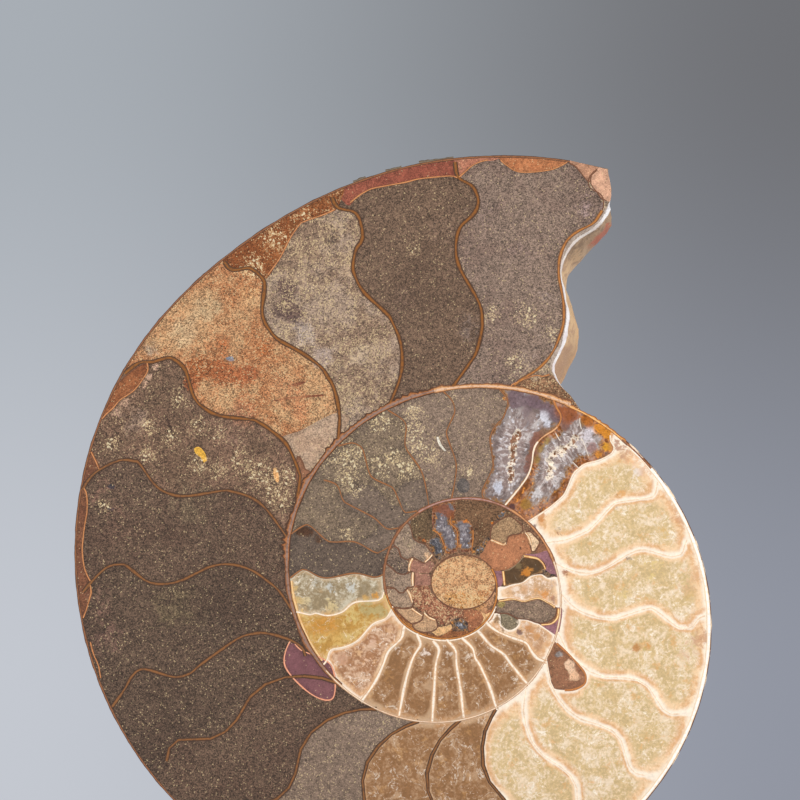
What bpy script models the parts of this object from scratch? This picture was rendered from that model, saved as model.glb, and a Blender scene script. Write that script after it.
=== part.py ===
"""Sawn and polished ammonite half, held upright in a slotted wooden stand.

Metres, +Z up. The origin is the centre of the pad's underside. The sawn face looks along -Y,
and the shell coils clockwise as seen from there.
"""

import math

import bmesh
import bpy
import numpy as np
from mathutils import Vector
from mathutils.geometry import delaunay_2d_cdt, tessellate_polygon

MM = 0.001

# The coil. Growth is the angle in degrees that the shell has coiled through, and 0 points straight up.
VENTER_STEP = 30
VENTER_RADII = (  # mm from the pole to the outer edge, one for each step of growth from 0
    10.0, 10.3, 10.6, 10.5, 10.7, 11.2, 12.0, 13.4, 15.5, 17.4, 19.2, 21.2,
    22.7, 24.2, 25.2, 26.3, 28.0, 30.3, 32.7, 35.3, 38.2, 41.5, 45.0, 47.9,
    50.6, 54.2, 58.4, 63.4, 68.3, 73.0, 78.0, 83.3, 89.1, 94.6, 99.1, 101.9,
    108.0, 113.6,
)
GROWTH_RATE = 0.0022  # natural log of the radius per degree, for the turns inside the first radius
TURN = 360
FIRST_GROWTH = 755  # where the last turn comes out from under the broken end
STEP_GROWTH = 5
LAST_REGULAR_GROWTH = 1095

# The half section of a turn, as shares of its radius
FLANK_HEIGHT = 0.207
FLANK_TOP = 0.42  # the share of the radius where the flank is fattest
FLANK_POWER = 2.2
FLANK_ROUND = 0.62
SEAM = 0.55  # how far out on the turn inside it a turn's flank reaches
EDGE = 1.2  # mm, thickness of the keel edge
CORE = 3.0  # mm, thickness at the pole
OUTER_LEVELS = (1.0, 0.975, 0.95, 0.9, 0.85, 0.8, 0.7, 0.6, SEAM)
INNER_LEVELS = (0.2, 0.45, 0.7, 0.86, 0.96, 1.0)  # from SEAM towards the seam below
WALL_START = 0.7  # the level where the umbilical wall starts to round over

# The broken end, along the last septum: its edge in the sawn face, as mm right of and above the pole
BREAK_EDGE = (
    (38.0, 105.2), (38.8, 101.8), (39.0, 98.0), (37.8, 95.6), (36.3, 93.3), (34.0, 91.1),
    (30.6, 89.2), (28.1, 86.6), (26.8, 83.6), (26.3, 79.6), (27.0, 74.5), (27.7, 69.6),
    (27.2, 65.0), (25.8, 61.0), (24.0, 57.8), (24.2, 54.4), (26.3, 51.2), (28.9, 48.6),
)
# The same break on the back: share of the radius, and growth there
BREAK_RIM = (
    (1.0, 1100.0), (0.94, 1101.7), (0.88, 1103.7), (0.81, 1101.8), (0.745, 1100.0),
    (0.71, 1101.2), (0.65, 1105.9), (0.6, 1108.0), (0.5, 1108.3), (0.4, 1109.5),
    (0.3, 1112.0), (0.2, 1115.0),
)
BREAK_GRID = 4.5  # mm, spacing of the points inside the broken surface

# The stand
GAP = 0.3  # mm, between pieces that touch
PAD_SIZE = (124.0, 56.0, 2.0)
BASE_SIZE = (132.0, 62.0, 25.0)
BASE_CORNER = 7.0
BASE_EDGE = 2.4
SLOT_DEPTH = 15.0
LINER = 1.2
SLOT_BACK = 12.2  # mm, how thick the half is at the mouth of the slot
FACE_Y = -7.0
POLE_X = 12.0
SLOT_GROWTH = (828, 990, 3)  # from, to and step, in degrees of growth

BASE_BOTTOM = PAD_SIZE[2] + GAP
BASE_TOP = BASE_BOTTOM + BASE_SIZE[2]
SEAT = 2 * GAP + LINER  # from the half to the wood


def venter(growth):
    """Radius of the outer edge at this growth, in mm, on a smooth curve through VENTER_RADII."""
    if growth <= 0:
        return VENTER_RADII[0] * math.exp(GROWTH_RATE * growth)
    place = min(growth / VENTER_STEP, len(VENTER_RADII) - 1.001)
    i = int(place)
    t = place - i
    last = len(VENTER_RADII) - 1
    a, b, c, d = (math.log(VENTER_RADII[min(max(i + k, 0), last)]) for k in (-1, 0, 1, 2))
    bend = (2 * a - 5 * b + 4 * c - d) * t * t + (3 * b - a - 3 * c + d) * t * t * t
    return math.exp(b + 0.5 * ((c - a) * t + bend))


def polar(radius, growth):
    """Right of and above the pole, in mm."""
    angle = math.radians(growth)
    return radius * math.sin(angle), radius * math.cos(angle)


LOWEST = min(polar(venter(g), g)[1] for g in range(860, 950))
POLE_Z = BASE_TOP - SLOT_DEPTH + SEAT - LOWEST


def place(x, z, depth):
    """World position of a point given from the pole, and behind the sawn face, in mm."""
    return Vector((POLE_X + x, FACE_Y + depth, POLE_Z + z)) * MM


def flank(share):
    """Height of the flank above the sawn face, as a share of the turn's radius."""
    out = max(share - FLANK_TOP, 0) / (1 - FLANK_TOP)
    return FLANK_HEIGHT * (1 - out**FLANK_POWER) ** FLANK_ROUND


def depth_at(share, growth):
    return EDGE + venter(growth) * flank(share)


def seam_share(growth):
    return SEAM * venter(growth - TURN) / venter(growth)


def inner_levels(growth):
    """(share of the radius, depth) down the inner flank and the umbilical wall, to the seam."""
    end = seam_share(growth)
    top = depth_at(FLANK_TOP, growth)
    foot = EDGE + venter(growth - TURN) * flank(SEAM)
    found = []
    for level in INNER_LEVELS:
        share = SEAM - level * (SEAM - end)
        over = max(level - WALL_START, 0) / (1 - WALL_START)
        height = foot + (top - foot) * math.sqrt(max(1 - over * over, 0))
        found.append((share, min(depth_at(share, growth), height)))
    return found


def break_growth(share):
    shares = [s for s, _ in reversed(BREAK_RIM)]
    growths = [g for _, g in reversed(BREAK_RIM)]
    return float(np.interp(share, shares, growths))


def smooth_line(points, steps):
    """Points along a smooth curve through these, with this many steps between each two."""
    padded = [points[0], *points, points[-1]]
    found = []
    for a, b, c, d in zip(padded, padded[1:], padded[2:], padded[3:]):
        for k in range(steps):
            t = k / steps
            found.append(tuple(
                q + 0.5 * t * (r - p + t * (2 * p - 5 * q + 4 * r - s + t * (3 * q - p - 3 * r + s)))
                for p, q, r, s in zip(a, b, c, d)
            ))
    return found + [tuple(points[-1])]


def material(name, colour, roughness):
    made = bpy.data.materials.new(name)
    made.use_nodes = True
    shader = made.node_tree.nodes["Principled BSDF"]
    shader.inputs["Base Color"].default_value = (*colour, 1)
    shader.inputs["Roughness"].default_value = roughness
    return made


def finish(mesh, name, made_of, smooth_angle=None):
    """Turn a bmesh into a named object with one material."""
    bmesh.ops.recalc_face_normals(mesh, faces=mesh.faces)
    data = bpy.data.meshes.new(name)
    mesh.to_mesh(data)
    mesh.free()
    if made_of:
        data.materials.append(made_of)
    if smooth_angle:
        data.shade_smooth()
        data.set_sharp_from_angle(angle=math.radians(smooth_angle))
    made = bpy.data.objects.new(name, data)
    bpy.context.scene.collection.objects.link(made)
    return made


def back_columns(mesh):
    """The back, as columns of points from the keel to the pole, one for each step of growth."""
    growths = list(range(FIRST_GROWTH, LAST_REGULAR_GROWTH + 1, STEP_GROWTH))
    columns = []
    for growth in growths:
        column = []
        for share in OUTER_LEVELS:
            point = polar(venter(growth) * share, growth)
            column.append(mesh.verts.new(place(*point, depth_at(share, growth))))
        for turn in range(3):
            inside = growth - TURN * turn
            for share, depth in inner_levels(inside):
                column.append(mesh.verts.new(place(*polar(venter(inside) * share, inside), depth)))
        columns.append(column)
    return columns


def break_column(mesh, first):
    """The rim of the broken end, then the points that the last turn shares with its own start."""
    column = []
    end = FIRST_GROWTH + TURN
    levels = [(share, depth_at(share, end)) for share in OUTER_LEVELS] + inner_levels(end)[:-1]
    for share, depth in levels:
        growth = break_growth(share)
        column.append(mesh.verts.new(place(*polar(venter(growth) * share, growth), depth)))
    seam = len(OUTER_LEVELS) - 1
    return column + first[seam:len(first) - len(INNER_LEVELS)]


def fill_break(mesh, edge, rim, under):
    """The broken surface between the edge in the sawn face, the rim on the back and the turn underneath."""
    def flat(vert):
        local = vert.co / MM - Vector((POLE_X, FACE_Y, POLE_Z))
        return math.hypot(local.x, local.z), local.y, math.degrees(math.atan2(local.x, local.z))

    loop = edge + list(reversed(under)) + list(reversed(rim))
    outline = [flat(v) for v in loop]
    fronts = sorted(flat(v)[::2] for v in edge)
    lows = sorted(flat(v) for v in under)
    backs = sorted(flat(v) for v in rim)

    def across(table, radius, item):
        return float(np.interp(radius, [row[0] for row in table], [row[item] for row in table]))

    inside = []
    lowest_radius, highest_radius = backs[0][0], backs[-1][0]
    for i in range(1, int((highest_radius - lowest_radius) / BREAK_GRID)):
        radius = lowest_radius + i * BREAK_GRID
        base = across(lows, radius, 1) if radius < lows[-1][0] else 0.0
        top = across(backs, radius, 1)
        steps = int((top - base) / BREAK_GRID)
        for k in range(1, steps):
            share = k / steps
            front = across(fronts, radius, 1) if radius > fronts[0][0] else lows[0][2]
            angle = front + (across(backs, radius, 2) - front) * math.sin(share * math.pi / 2)
            inside.append((radius, base + (top - base) * share, angle))
    points = outline + inside
    ring = [(i, (i + 1) % len(outline)) for i in range(len(outline))]
    _, _, faces, origins, _, _ = delaunay_2d_cdt([Vector(p[:2]) for p in points], ring, [], 1, 1e-6)
    verts = loop + [mesh.verts.new(place(*polar(r, angle), depth)) for r, depth, angle in inside]
    for face in faces:
        mesh.faces.new([verts[origins[i][0]] for i in face])


def ammonite_half():
    mesh = bmesh.new()
    columns = back_columns(mesh)
    columns.append(break_column(mesh, columns[0]))
    for left, right in zip(columns, columns[1:]):
        for k in range(min(len(left), len(right)) - 1):
            mesh.faces.new((left[k], left[k + 1], right[k + 1], right[k]))
    core = mesh.verts.new(place(0, 0, CORE))
    start = len(columns[0]) - len(INNER_LEVELS) - 1
    ring = [column[-1] for column in columns[:-1]] + columns[0][start:]
    for a, b in zip(ring, ring[1:]):
        if a is not b:
            mesh.faces.new((a, b, core))

    front = [mesh.verts.new(place(*polar(venter(g), g), 0))
             for g in range(FIRST_GROWTH, LAST_REGULAR_GROWTH + 1, STEP_GROWTH)]
    edge = [mesh.verts.new(place(x, z, 0)) for x, z in smooth_line(BREAK_EDGE, 2)]
    for k, (a, b) in enumerate(zip(front, front[1:])):
        mesh.faces.new((a, b, columns[k + 1][0], columns[k][0]))
    mesh.faces.new((front[-1], edge[0], columns[-1][0], columns[-2][0]))
    outer = len(OUTER_LEVELS)
    rim = columns[-1][:outer + len(INNER_LEVELS) - 1]
    fill_break(mesh, edge + [front[0]], rim, list(reversed(columns[0][:outer])))

    outline = front + edge
    for corners in tessellate_polygon([[v.co for v in outline]]):
        mesh.faces.new([outline[i] for i in corners])
    return finish(mesh, "ammonite_half", material("polished_fossil", (0.30, 0.24, 0.18), 0.3), 40)


def seat_prism(name, clearance, front, back):
    """A prism that follows the lower edge of the half at this clearance, and runs up past the wood."""
    start, stop, step = SLOT_GROWTH
    low = [polar(venter(g) + clearance, g) for g in range(start, stop, step)]
    high = BASE_TOP - POLE_Z + 8
    low = [(x, z) for x, z in low if z < high]
    outline = [(low[0][0], high), *low, (low[-1][0], high)]
    mesh = bmesh.new()
    near = [mesh.verts.new(place(x, z, front)) for x, z in outline]
    far = [mesh.verts.new(place(x, z, back)) for x, z in outline]
    mesh.faces.new(near)
    mesh.faces.new(list(reversed(far)))
    for i in range(len(outline)):
        k = (i + 1) % len(outline)
        mesh.faces.new((near[i], far[i], far[k], near[k]))
    made = finish(mesh, name, None)
    made.hide_render = True
    made.display_type = "WIRE"
    return made


def cut(made, cutter, how="DIFFERENCE"):
    modifier = made.modifiers.new(cutter.name, "BOOLEAN")
    modifier.operation = how
    modifier.object = cutter
    modifier.solver = "EXACT"


def block(name, size, bottom, made_of, corner, edge, edge_faces):
    """A box with round upright corners, and its edges eased on the faces that edge_faces names."""
    mesh = bmesh.new()
    bmesh.ops.create_cube(mesh, size=1)
    bmesh.ops.scale(mesh, verts=mesh.verts, vec=Vector(size) * MM)
    bmesh.ops.translate(mesh, verts=mesh.verts, vec=(0, 0, (bottom + size[2] / 2) * MM))
    upright = [e for e in mesh.edges if abs((e.verts[0].co - e.verts[1].co).z) > size[2] * MM / 2]
    bmesh.ops.bevel(mesh, geom=upright, offset=corner * MM, segments=5, profile=0.5, affect="EDGES")
    for up in edge_faces:
        faces = [f for f in mesh.faces if f.normal.z * up > 0.9]
        around = {e for f in faces for e in f.edges}
        bmesh.ops.bevel(mesh, geom=list(around), offset=edge * MM, segments=3, profile=0.5, affect="EDGES")
    return finish(mesh, name, made_of, 35)


def stand_base():
    walnut = material("walnut", (0.16, 0.08, 0.04), 0.4)
    made = block("stand_base", BASE_SIZE, BASE_BOTTOM, walnut, BASE_CORNER, BASE_EDGE, (1,))
    cut(made, seat_prism("slot_cutter", SEAT, -SEAT, SLOT_BACK + SEAT))
    return made


def slot_felt():
    """A felt channel that lines the slot and stops just under the top of the wood."""
    felt = material("felt_lining", (0.05, 0.07, 0.05), 0.95)
    made = block("slot_felt", BASE_SIZE, BASE_BOTTOM - LINER, felt, BASE_CORNER, BASE_EDGE, ())
    outside = GAP + LINER
    cut(made, seat_prism("felt_outside", outside, -outside, SLOT_BACK + outside), "INTERSECT")
    cut(made, seat_prism("felt_inside", GAP, -GAP, SLOT_BACK + GAP))
    return made


def base_pad():
    baize = material("felt_pad", (0.04, 0.06, 0.045), 0.95)
    return block("base_pad", PAD_SIZE, 0, baize, BASE_CORNER - 2, 0, ())


def main():
    for old in list(bpy.data.objects):
        bpy.data.objects.remove(old)
    ammonite_half()
    stand_base()
    slot_felt()
    base_pad()


main()
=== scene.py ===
import math

import bmesh
import bpy
import numpy as np
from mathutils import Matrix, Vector
from mathutils.geometry import delaunay_2d_cdt
from mathutils.kdtree import KDTree


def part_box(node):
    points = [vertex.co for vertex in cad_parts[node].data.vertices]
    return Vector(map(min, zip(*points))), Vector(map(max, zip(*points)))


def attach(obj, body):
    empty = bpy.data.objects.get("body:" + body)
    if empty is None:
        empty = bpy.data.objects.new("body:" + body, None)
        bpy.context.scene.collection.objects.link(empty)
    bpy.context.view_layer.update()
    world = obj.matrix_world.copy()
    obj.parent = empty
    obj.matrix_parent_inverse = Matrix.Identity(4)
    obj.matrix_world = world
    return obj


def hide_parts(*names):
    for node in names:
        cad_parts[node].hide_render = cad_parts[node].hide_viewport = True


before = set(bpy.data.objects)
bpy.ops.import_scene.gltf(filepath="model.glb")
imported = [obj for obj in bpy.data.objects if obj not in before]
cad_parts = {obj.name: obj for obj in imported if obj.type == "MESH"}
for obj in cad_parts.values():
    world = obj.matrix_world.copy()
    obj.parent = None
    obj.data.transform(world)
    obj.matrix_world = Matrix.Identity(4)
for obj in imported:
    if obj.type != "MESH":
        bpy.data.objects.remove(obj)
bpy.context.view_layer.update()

mm = 0.001
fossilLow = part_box("ammonite_half")[0]
dice = np.random.default_rng(7)

# The coil, as the CAD has it. Growth is in degrees, 0 points straight up, and the shell coils clockwise.
# Lengths below are mm, and points in the sawn face are (right of, above) the pole of the coil.
coil = {
    "step": 30,    # degrees between these radii of the outer edge
    "radii": (
        10, 10.3, 10.6, 10.5, 10.7, 11.2, 12, 13.4, 15.5, 17.4, 19.2, 21.2,
        22.7, 24.2, 25.2, 26.3, 28, 30.3, 32.7, 35.3, 38.2, 41.5, 45, 47.9,
        50.6, 54.2, 58.4, 63.4, 68.3, 73, 78, 83.3, 89.1, 94.6, 99.1, 101.9,
        108, 113.6,
    ),
    "innerRate": 0.0022,    # relative growth of the radius to a degree, inside the first
    "innermost": -60,
    "firstGrowth": 755,     # the last turn, from here
    "lastGrowth": 1095,     # to the broken end
    "rimStep": 2.5,
    "breakEdge": (    # the edge of the broken end in the sawn face
        (38, 105.2), (38.8, 101.8), (39, 98), (37.8, 95.6), (36.3, 93.3), (34, 91.1),
        (30.6, 89.2), (28.1, 86.6), (26.8, 83.6), (26.3, 79.6), (27, 74.5), (27.7, 69.6),
        (27.2, 65), (25.8, 61), (24, 57.8), (24.2, 54.4), (26.3, 51.2), (28.9, 48.6),
    ),
}
turn = 360


def venter(growth):
    # radius of the outer edge, on a smooth curve through the radii
    growth = np.asarray(growth, float)
    logs = np.log(coil["radii"])
    place = np.clip(growth / coil["step"], 0, len(logs) - 1.001)
    i = place.astype(int)
    t = place - i
    a, b, c, d = (logs[np.clip(i + k, 0, len(logs) - 1)] for k in (-1, 0, 1, 2))
    bend = (2 * a - 5 * b + 4 * c - d) * t * t + (3 * b - a - 3 * c + d) * t**3
    inside = coil["radii"][0] * np.exp(coil["innerRate"] * growth)
    return np.where(growth <= 0, inside, np.exp(b + 0.5 * ((c - a) * t + bend)))


def polar(radius, growth):
    angle = np.radians(growth)
    return np.stack([radius * np.sin(angle), radius * np.cos(angle)], axis=-1)


def spiral(start, stop, step):
    growth = np.arange(start, stop + step / 2, step)
    return polar(venter(growth), growth)


rimCurve = spiral(coil["firstGrowth"], coil["lastGrowth"], coil["rimStep"])
poleX = fossilLow.x / mm - rimCurve[:, 0].min()
poleZ = fossilLow.z / mm - rimCurve[:, 1].min()
faceY = fossilLow.y / mm


def inWorld(points, depth):
    # world metres of points in the face, at this depth behind it
    points = np.asarray(points, float)
    depth = np.broadcast_to(depth, points.shape[:1])
    return np.stack([poleX + points[:, 0], faceY + depth, poleZ + points[:, 1]], axis=1) * mm


def smoothLine(points, gap=0.7, closed=False):
    # points about gap apart on a smooth curve through these
    points = [np.array(p, float) for p in points]
    if closed:
        padded = [points[-1], *points, points[0], points[1]]
    else:
        padded = [points[0], *points, points[-1]]
    found = []
    for p, q, r, s in zip(padded, padded[1:], padded[2:], padded[3:]):
        steps = max(int(round(np.linalg.norm(r - q) / gap)), 1)
        for k in range(steps):
            t = k / steps
            bend = t * (2 * p - 5 * q + 4 * r - s + t * (3 * (q - r) + s - p))
            found.append(q + 0.5 * t * (r - p + bend))
    return np.array(found if closed else [*found, points[-1]])


def growthAt(points):
    # growth of the turn that each point lies in
    points = np.asarray(points, float)
    radius = np.hypot(points[:, 0], points[:, 1])
    angle = np.degrees(np.arctan2(points[:, 0], points[:, 1])) % turn
    growth = angle.copy()
    for k in range(1, 4):
        growth = np.where(radius > venter(angle + turn * (k - 1)), angle + turn * k, growth)
    return growth


# Septa, the walls between chambers, from the outer edge to the turn inside
outerSepta = (
    ((0, 107), (0.8, 103.2), (4, 101.2), (5.2, 99.5), (5.8, 97.5), (5.5, 95.5), (4.2, 93.5), (1.2, 90.5),
     (0.2, 85.8), (1.2, 80.5), (6, 71.8), (6.8, 67), (6.6, 64.5), (5.5, 60), (4.2, 57.5), (-0.8, 50.5)),
    ((-31.2, 99.5), (-30.2, 96.8), (-28.8, 95.4), (-25.5, 94.6), (-24, 93), (-23.1, 89), (-23.5, 87),
     (-24.8, 85), (-25.5, 81), (-25, 78.5), (-22.8, 74.5), (-17.2, 69.2), (-15.8, 67.2), (-13.8, 62.5),
     (-13.2, 57.5), (-13.9, 52.5), (-16.5, 46)),
    ((-59.8, 82), (-57.8, 82), (-56.5, 80.5), (-54.8, 80), (-51.2, 80.4), (-48.2, 78), (-47.6, 75.8),
     (-48.2, 70.5), (-47.8, 67.5), (-46.2, 64.8), (-44, 62.5), (-38.8, 59.6), (-33.8, 56), (-31.8, 53.2),
     (-30.2, 50.2), (-28.9, 43.8), (-29.2, 37.5)),
    ((-85.5, 50.5), (-83.5, 53.2), (-80, 56.2), (-78, 57), (-75.8, 57), (-72, 58), (-70.2, 57.6),
     (-67.5, 55), (-65.8, 49.5), (-64.8, 47.5), (-63.2, 45.8), (-59, 43.6), (-51.2, 42.6), (-49.2, 42),
     (-45.5, 39.5), (-42, 36.2), (-39.2, 30), (-38.8, 27.5), (-39.5, 22.5)),
    ((-93.8, 23.5), (-92, 27), (-89, 30), (-83.8, 32.4), (-80.2, 32.2), (-78.8, 31.5), (-75.2, 26.5),
     (-71.8, 24.2), (-67, 23.5), (-58.2, 24.8), (-55.8, 24.6), (-51.2, 23.2), (-47.2, 20.2), (-42, 13.2)),
    ((-93, -0.5), (-89.8, 3.2), (-86.8, 5.8), (-83.5, 6.4), (-81.8, 5.8), (-77, 2.2), (-72.8, 1.5),
     (-68.2, 2.5), (-61.2, 5.8), (-56.2, 6.4), (-51.2, 5.1), (-47.2, 2.5), (-43.8, -0.5), (-41, -4.8)),
    ((-86, -29.6), (-82.6, -24.8), (-80.6, -21.4), (-77.7, -19.8), (-70.4, -21.7), (-66.4, -20.9),
     (-63.8, -18.8), (-58.8, -15.2), (-53.8, -11.9), (-49.5, -10.8), (-46.2, -11), (-41.2, -12.5),
     (-38.2, -14.5), (-37.4, -16.5)),
)
innerSepta = (
    ((-33.2, -19), (-32, -17.5), (-31, -15), (-27.5, -14.2), (-24.2, -12.5), (-20.5, -8.5), (-17.2, -7),
     (-15.5, -4)),
    ((-41, -5.8), (-39.5, -5.5), (-36.2, -6.2), (-34.8, -5.8), (-31.8, -6.4), (-28.2, -5.5), (-25, -3.1),
     (-19, -2.5), (-17.8, -0.5)),
    ((-41.2, 3), (-38.8, 4.8), (-37.2, 5), (-32.5, 3), (-25.2, 4.2), (-20.2, 3.2), (-17.8, 4)),
    ((-41, 14), (-38, 16), (-36.2, 16), (-32.2, 12.5), (-30, 12), (-25, 12), (-20.2, 9.5), (-18.8, 9.5),
     (-16.5, 10.8)),
    ((-32.8, 27.5), (-29.5, 26.2), (-28, 22.5), (-26.2, 21.2), (-20.5, 18.2), (-18, 16), (-16.5, 15.2),
     (-14.2, 15.5)),
    ((-29.2, 36), (-25.8, 36.8), (-24.2, 36.2), (-23, 35), (-21.5, 29.5), (-20.2, 27.8), (-16.8, 26.2),
     (-15.2, 25), (-13, 20), (-11.8, 19.4), (-9.5, 19.8)),
    ((-16.8, 45), (-13, 42.5), (-12.2, 40.5), (-12.5, 37.5), (-12, 35), (-8.2, 29.2), (-6.5, 21)),
    ((-4, 50.5), (-1.2, 48), (-0.2, 46), (-0.2, 44), (-1.8, 40.5), (-2, 38.5), (0.2, 32), (0, 27.5),
     (-1, 22.2)),
    ((9.8, 51.5), (12, 49.2), (13.2, 47), (12, 43), (10.5, 41.5), (8.8, 38), (9.5, 32), (9.2, 30),
     (6.8, 24.5), (7.8, 22)),
)
paleSepta = (
    ((24.6, 47.6), (25.4, 45.6), (26.4, 43.8), (26.3, 42), (25, 40.2), (22.2, 38.4), (20.4, 36.6),
     (19.6, 34.6), (19.2, 31.6), (18.2, 28.6), (16, 25.4), (12.2, 20.8)),
    ((38.8, 39.2), (39, 37.2), (39.8, 35.8), (39.2, 34.2), (36.2, 32.5), (32.5, 31.5), (30.8, 30.2),
     (29.5, 28.8), (27.8, 24.8), (26.5, 23), (22.5, 19.8), (18.2, 17)),
    ((52, 28.2), (50.8, 27.5), (50, 24), (48.2, 23), (41.2, 22), (39.2, 21), (34.5, 16), (32.5, 14.5),
     (27.5, 12.5), (22.2, 11.8)),
    ((60, 13.8), (58, 12.5), (56.8, 9.2), (55.2, 8.5), (53.2, 8.5), (47.2, 10), (43.2, 8.8), (37, 5.2),
     (32.5, 4.2), (27.5, 5.5), (25, 6.8)),
    ((64.2, -6), (61.2, -7), (59.2, -9.2), (57.2, -9.5), (55.2, -9), (50, -5), (47.5, -4.8), (40.5, -7),
     (38, -7.1), (35.5, -6.8), (30.5, -4.8), (26.5, -1)),
)
# the close, pale septa under the centre, from the centre outwards
closeSepta = (
    ((-12.8, -9.7), (-13.5, -12.2), (-16.6, -15.3), (-18, -18.8), (-20, -23), (-23.5, -28)),
    ((-9.3, -11.5), (-8.6, -13.6), (-10, -16), (-11.2, -18.8), (-12.6, -24), (-14, -31.5)),
    ((-5.1, -13.2), (-4, -15), (-4.8, -18.8), (-5.2, -25), (-5.7, -33)),
    ((-1.6, -12.9), (0.2, -15.3), (0.4, -18.8), (1.4, -25), (2.2, -32)),
    ((2.3, -12.5), (4.4, -14.6), (5.1, -17.1), (6.2, -18.8), (8.6, -24), (10.5, -30)),
    ((6.5, -11.1), (9, -13.9), (12.1, -16), (14.2, -18.8), (17.2, -22.4), (18.5, -23.8)),
    ((7.4, -7.8), (9.5, -9.6), (11.5, -10.8), (14.5, -12), (17.7, -13.2), (19.1, -15.3), (20.5, -17),
     (22.2, -17.8), (22.9, -18)),
)
# The hidden septa below the pole. A septum's bend is how far it swings from a straight radius, in degrees,
# at these shares of the way from the turn inside to the outer edge.
swing = {
    "share": (0, 0.04, 0.1, 0.18, 0.28, 0.38, 0.5, 0.58, 0.66, 0.79, 0.85, 0.9, 1),
    "young": (-4.5, -2, 2, 3.6, 4.3, 3.3, 0.5, -0.7, -0.3, 3, 3.2, 2.3, 0),
    "old": (-6, -0.4, 3.3, 6, 6.8, 5.6, 2.4, 1.5, 1.9, 4.7, 4.1, 2.3, 0),
    "ages": (816, 971),    # growths at which the bend is all young and all old
    "growths": (836.6, 852, 868, 885.5, 903, 921, 939, 957, 971),    # the last one is outerSepta's own
    "fillings": (
        "oliveRim", "olive", "olive", "brownCalcite", "brownCalcite", "greyTan", "deepBrown", "darkest",
    ),
}


def swungSeptum(growth):
    age = np.interp(growth, swing["ages"], (0, 1))
    share = np.array(swing["share"])
    bend = np.array(swing["young"]) * (1 - age) + np.array(swing["old"]) * age
    low, high = venter(growth + bend - turn), venter(growth + bend)
    return polar(low + share * (high - low), growth + bend)[::-1]


lowSepta = tuple(swungSeptum(growth) for growth in swing["growths"][:-1])

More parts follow.
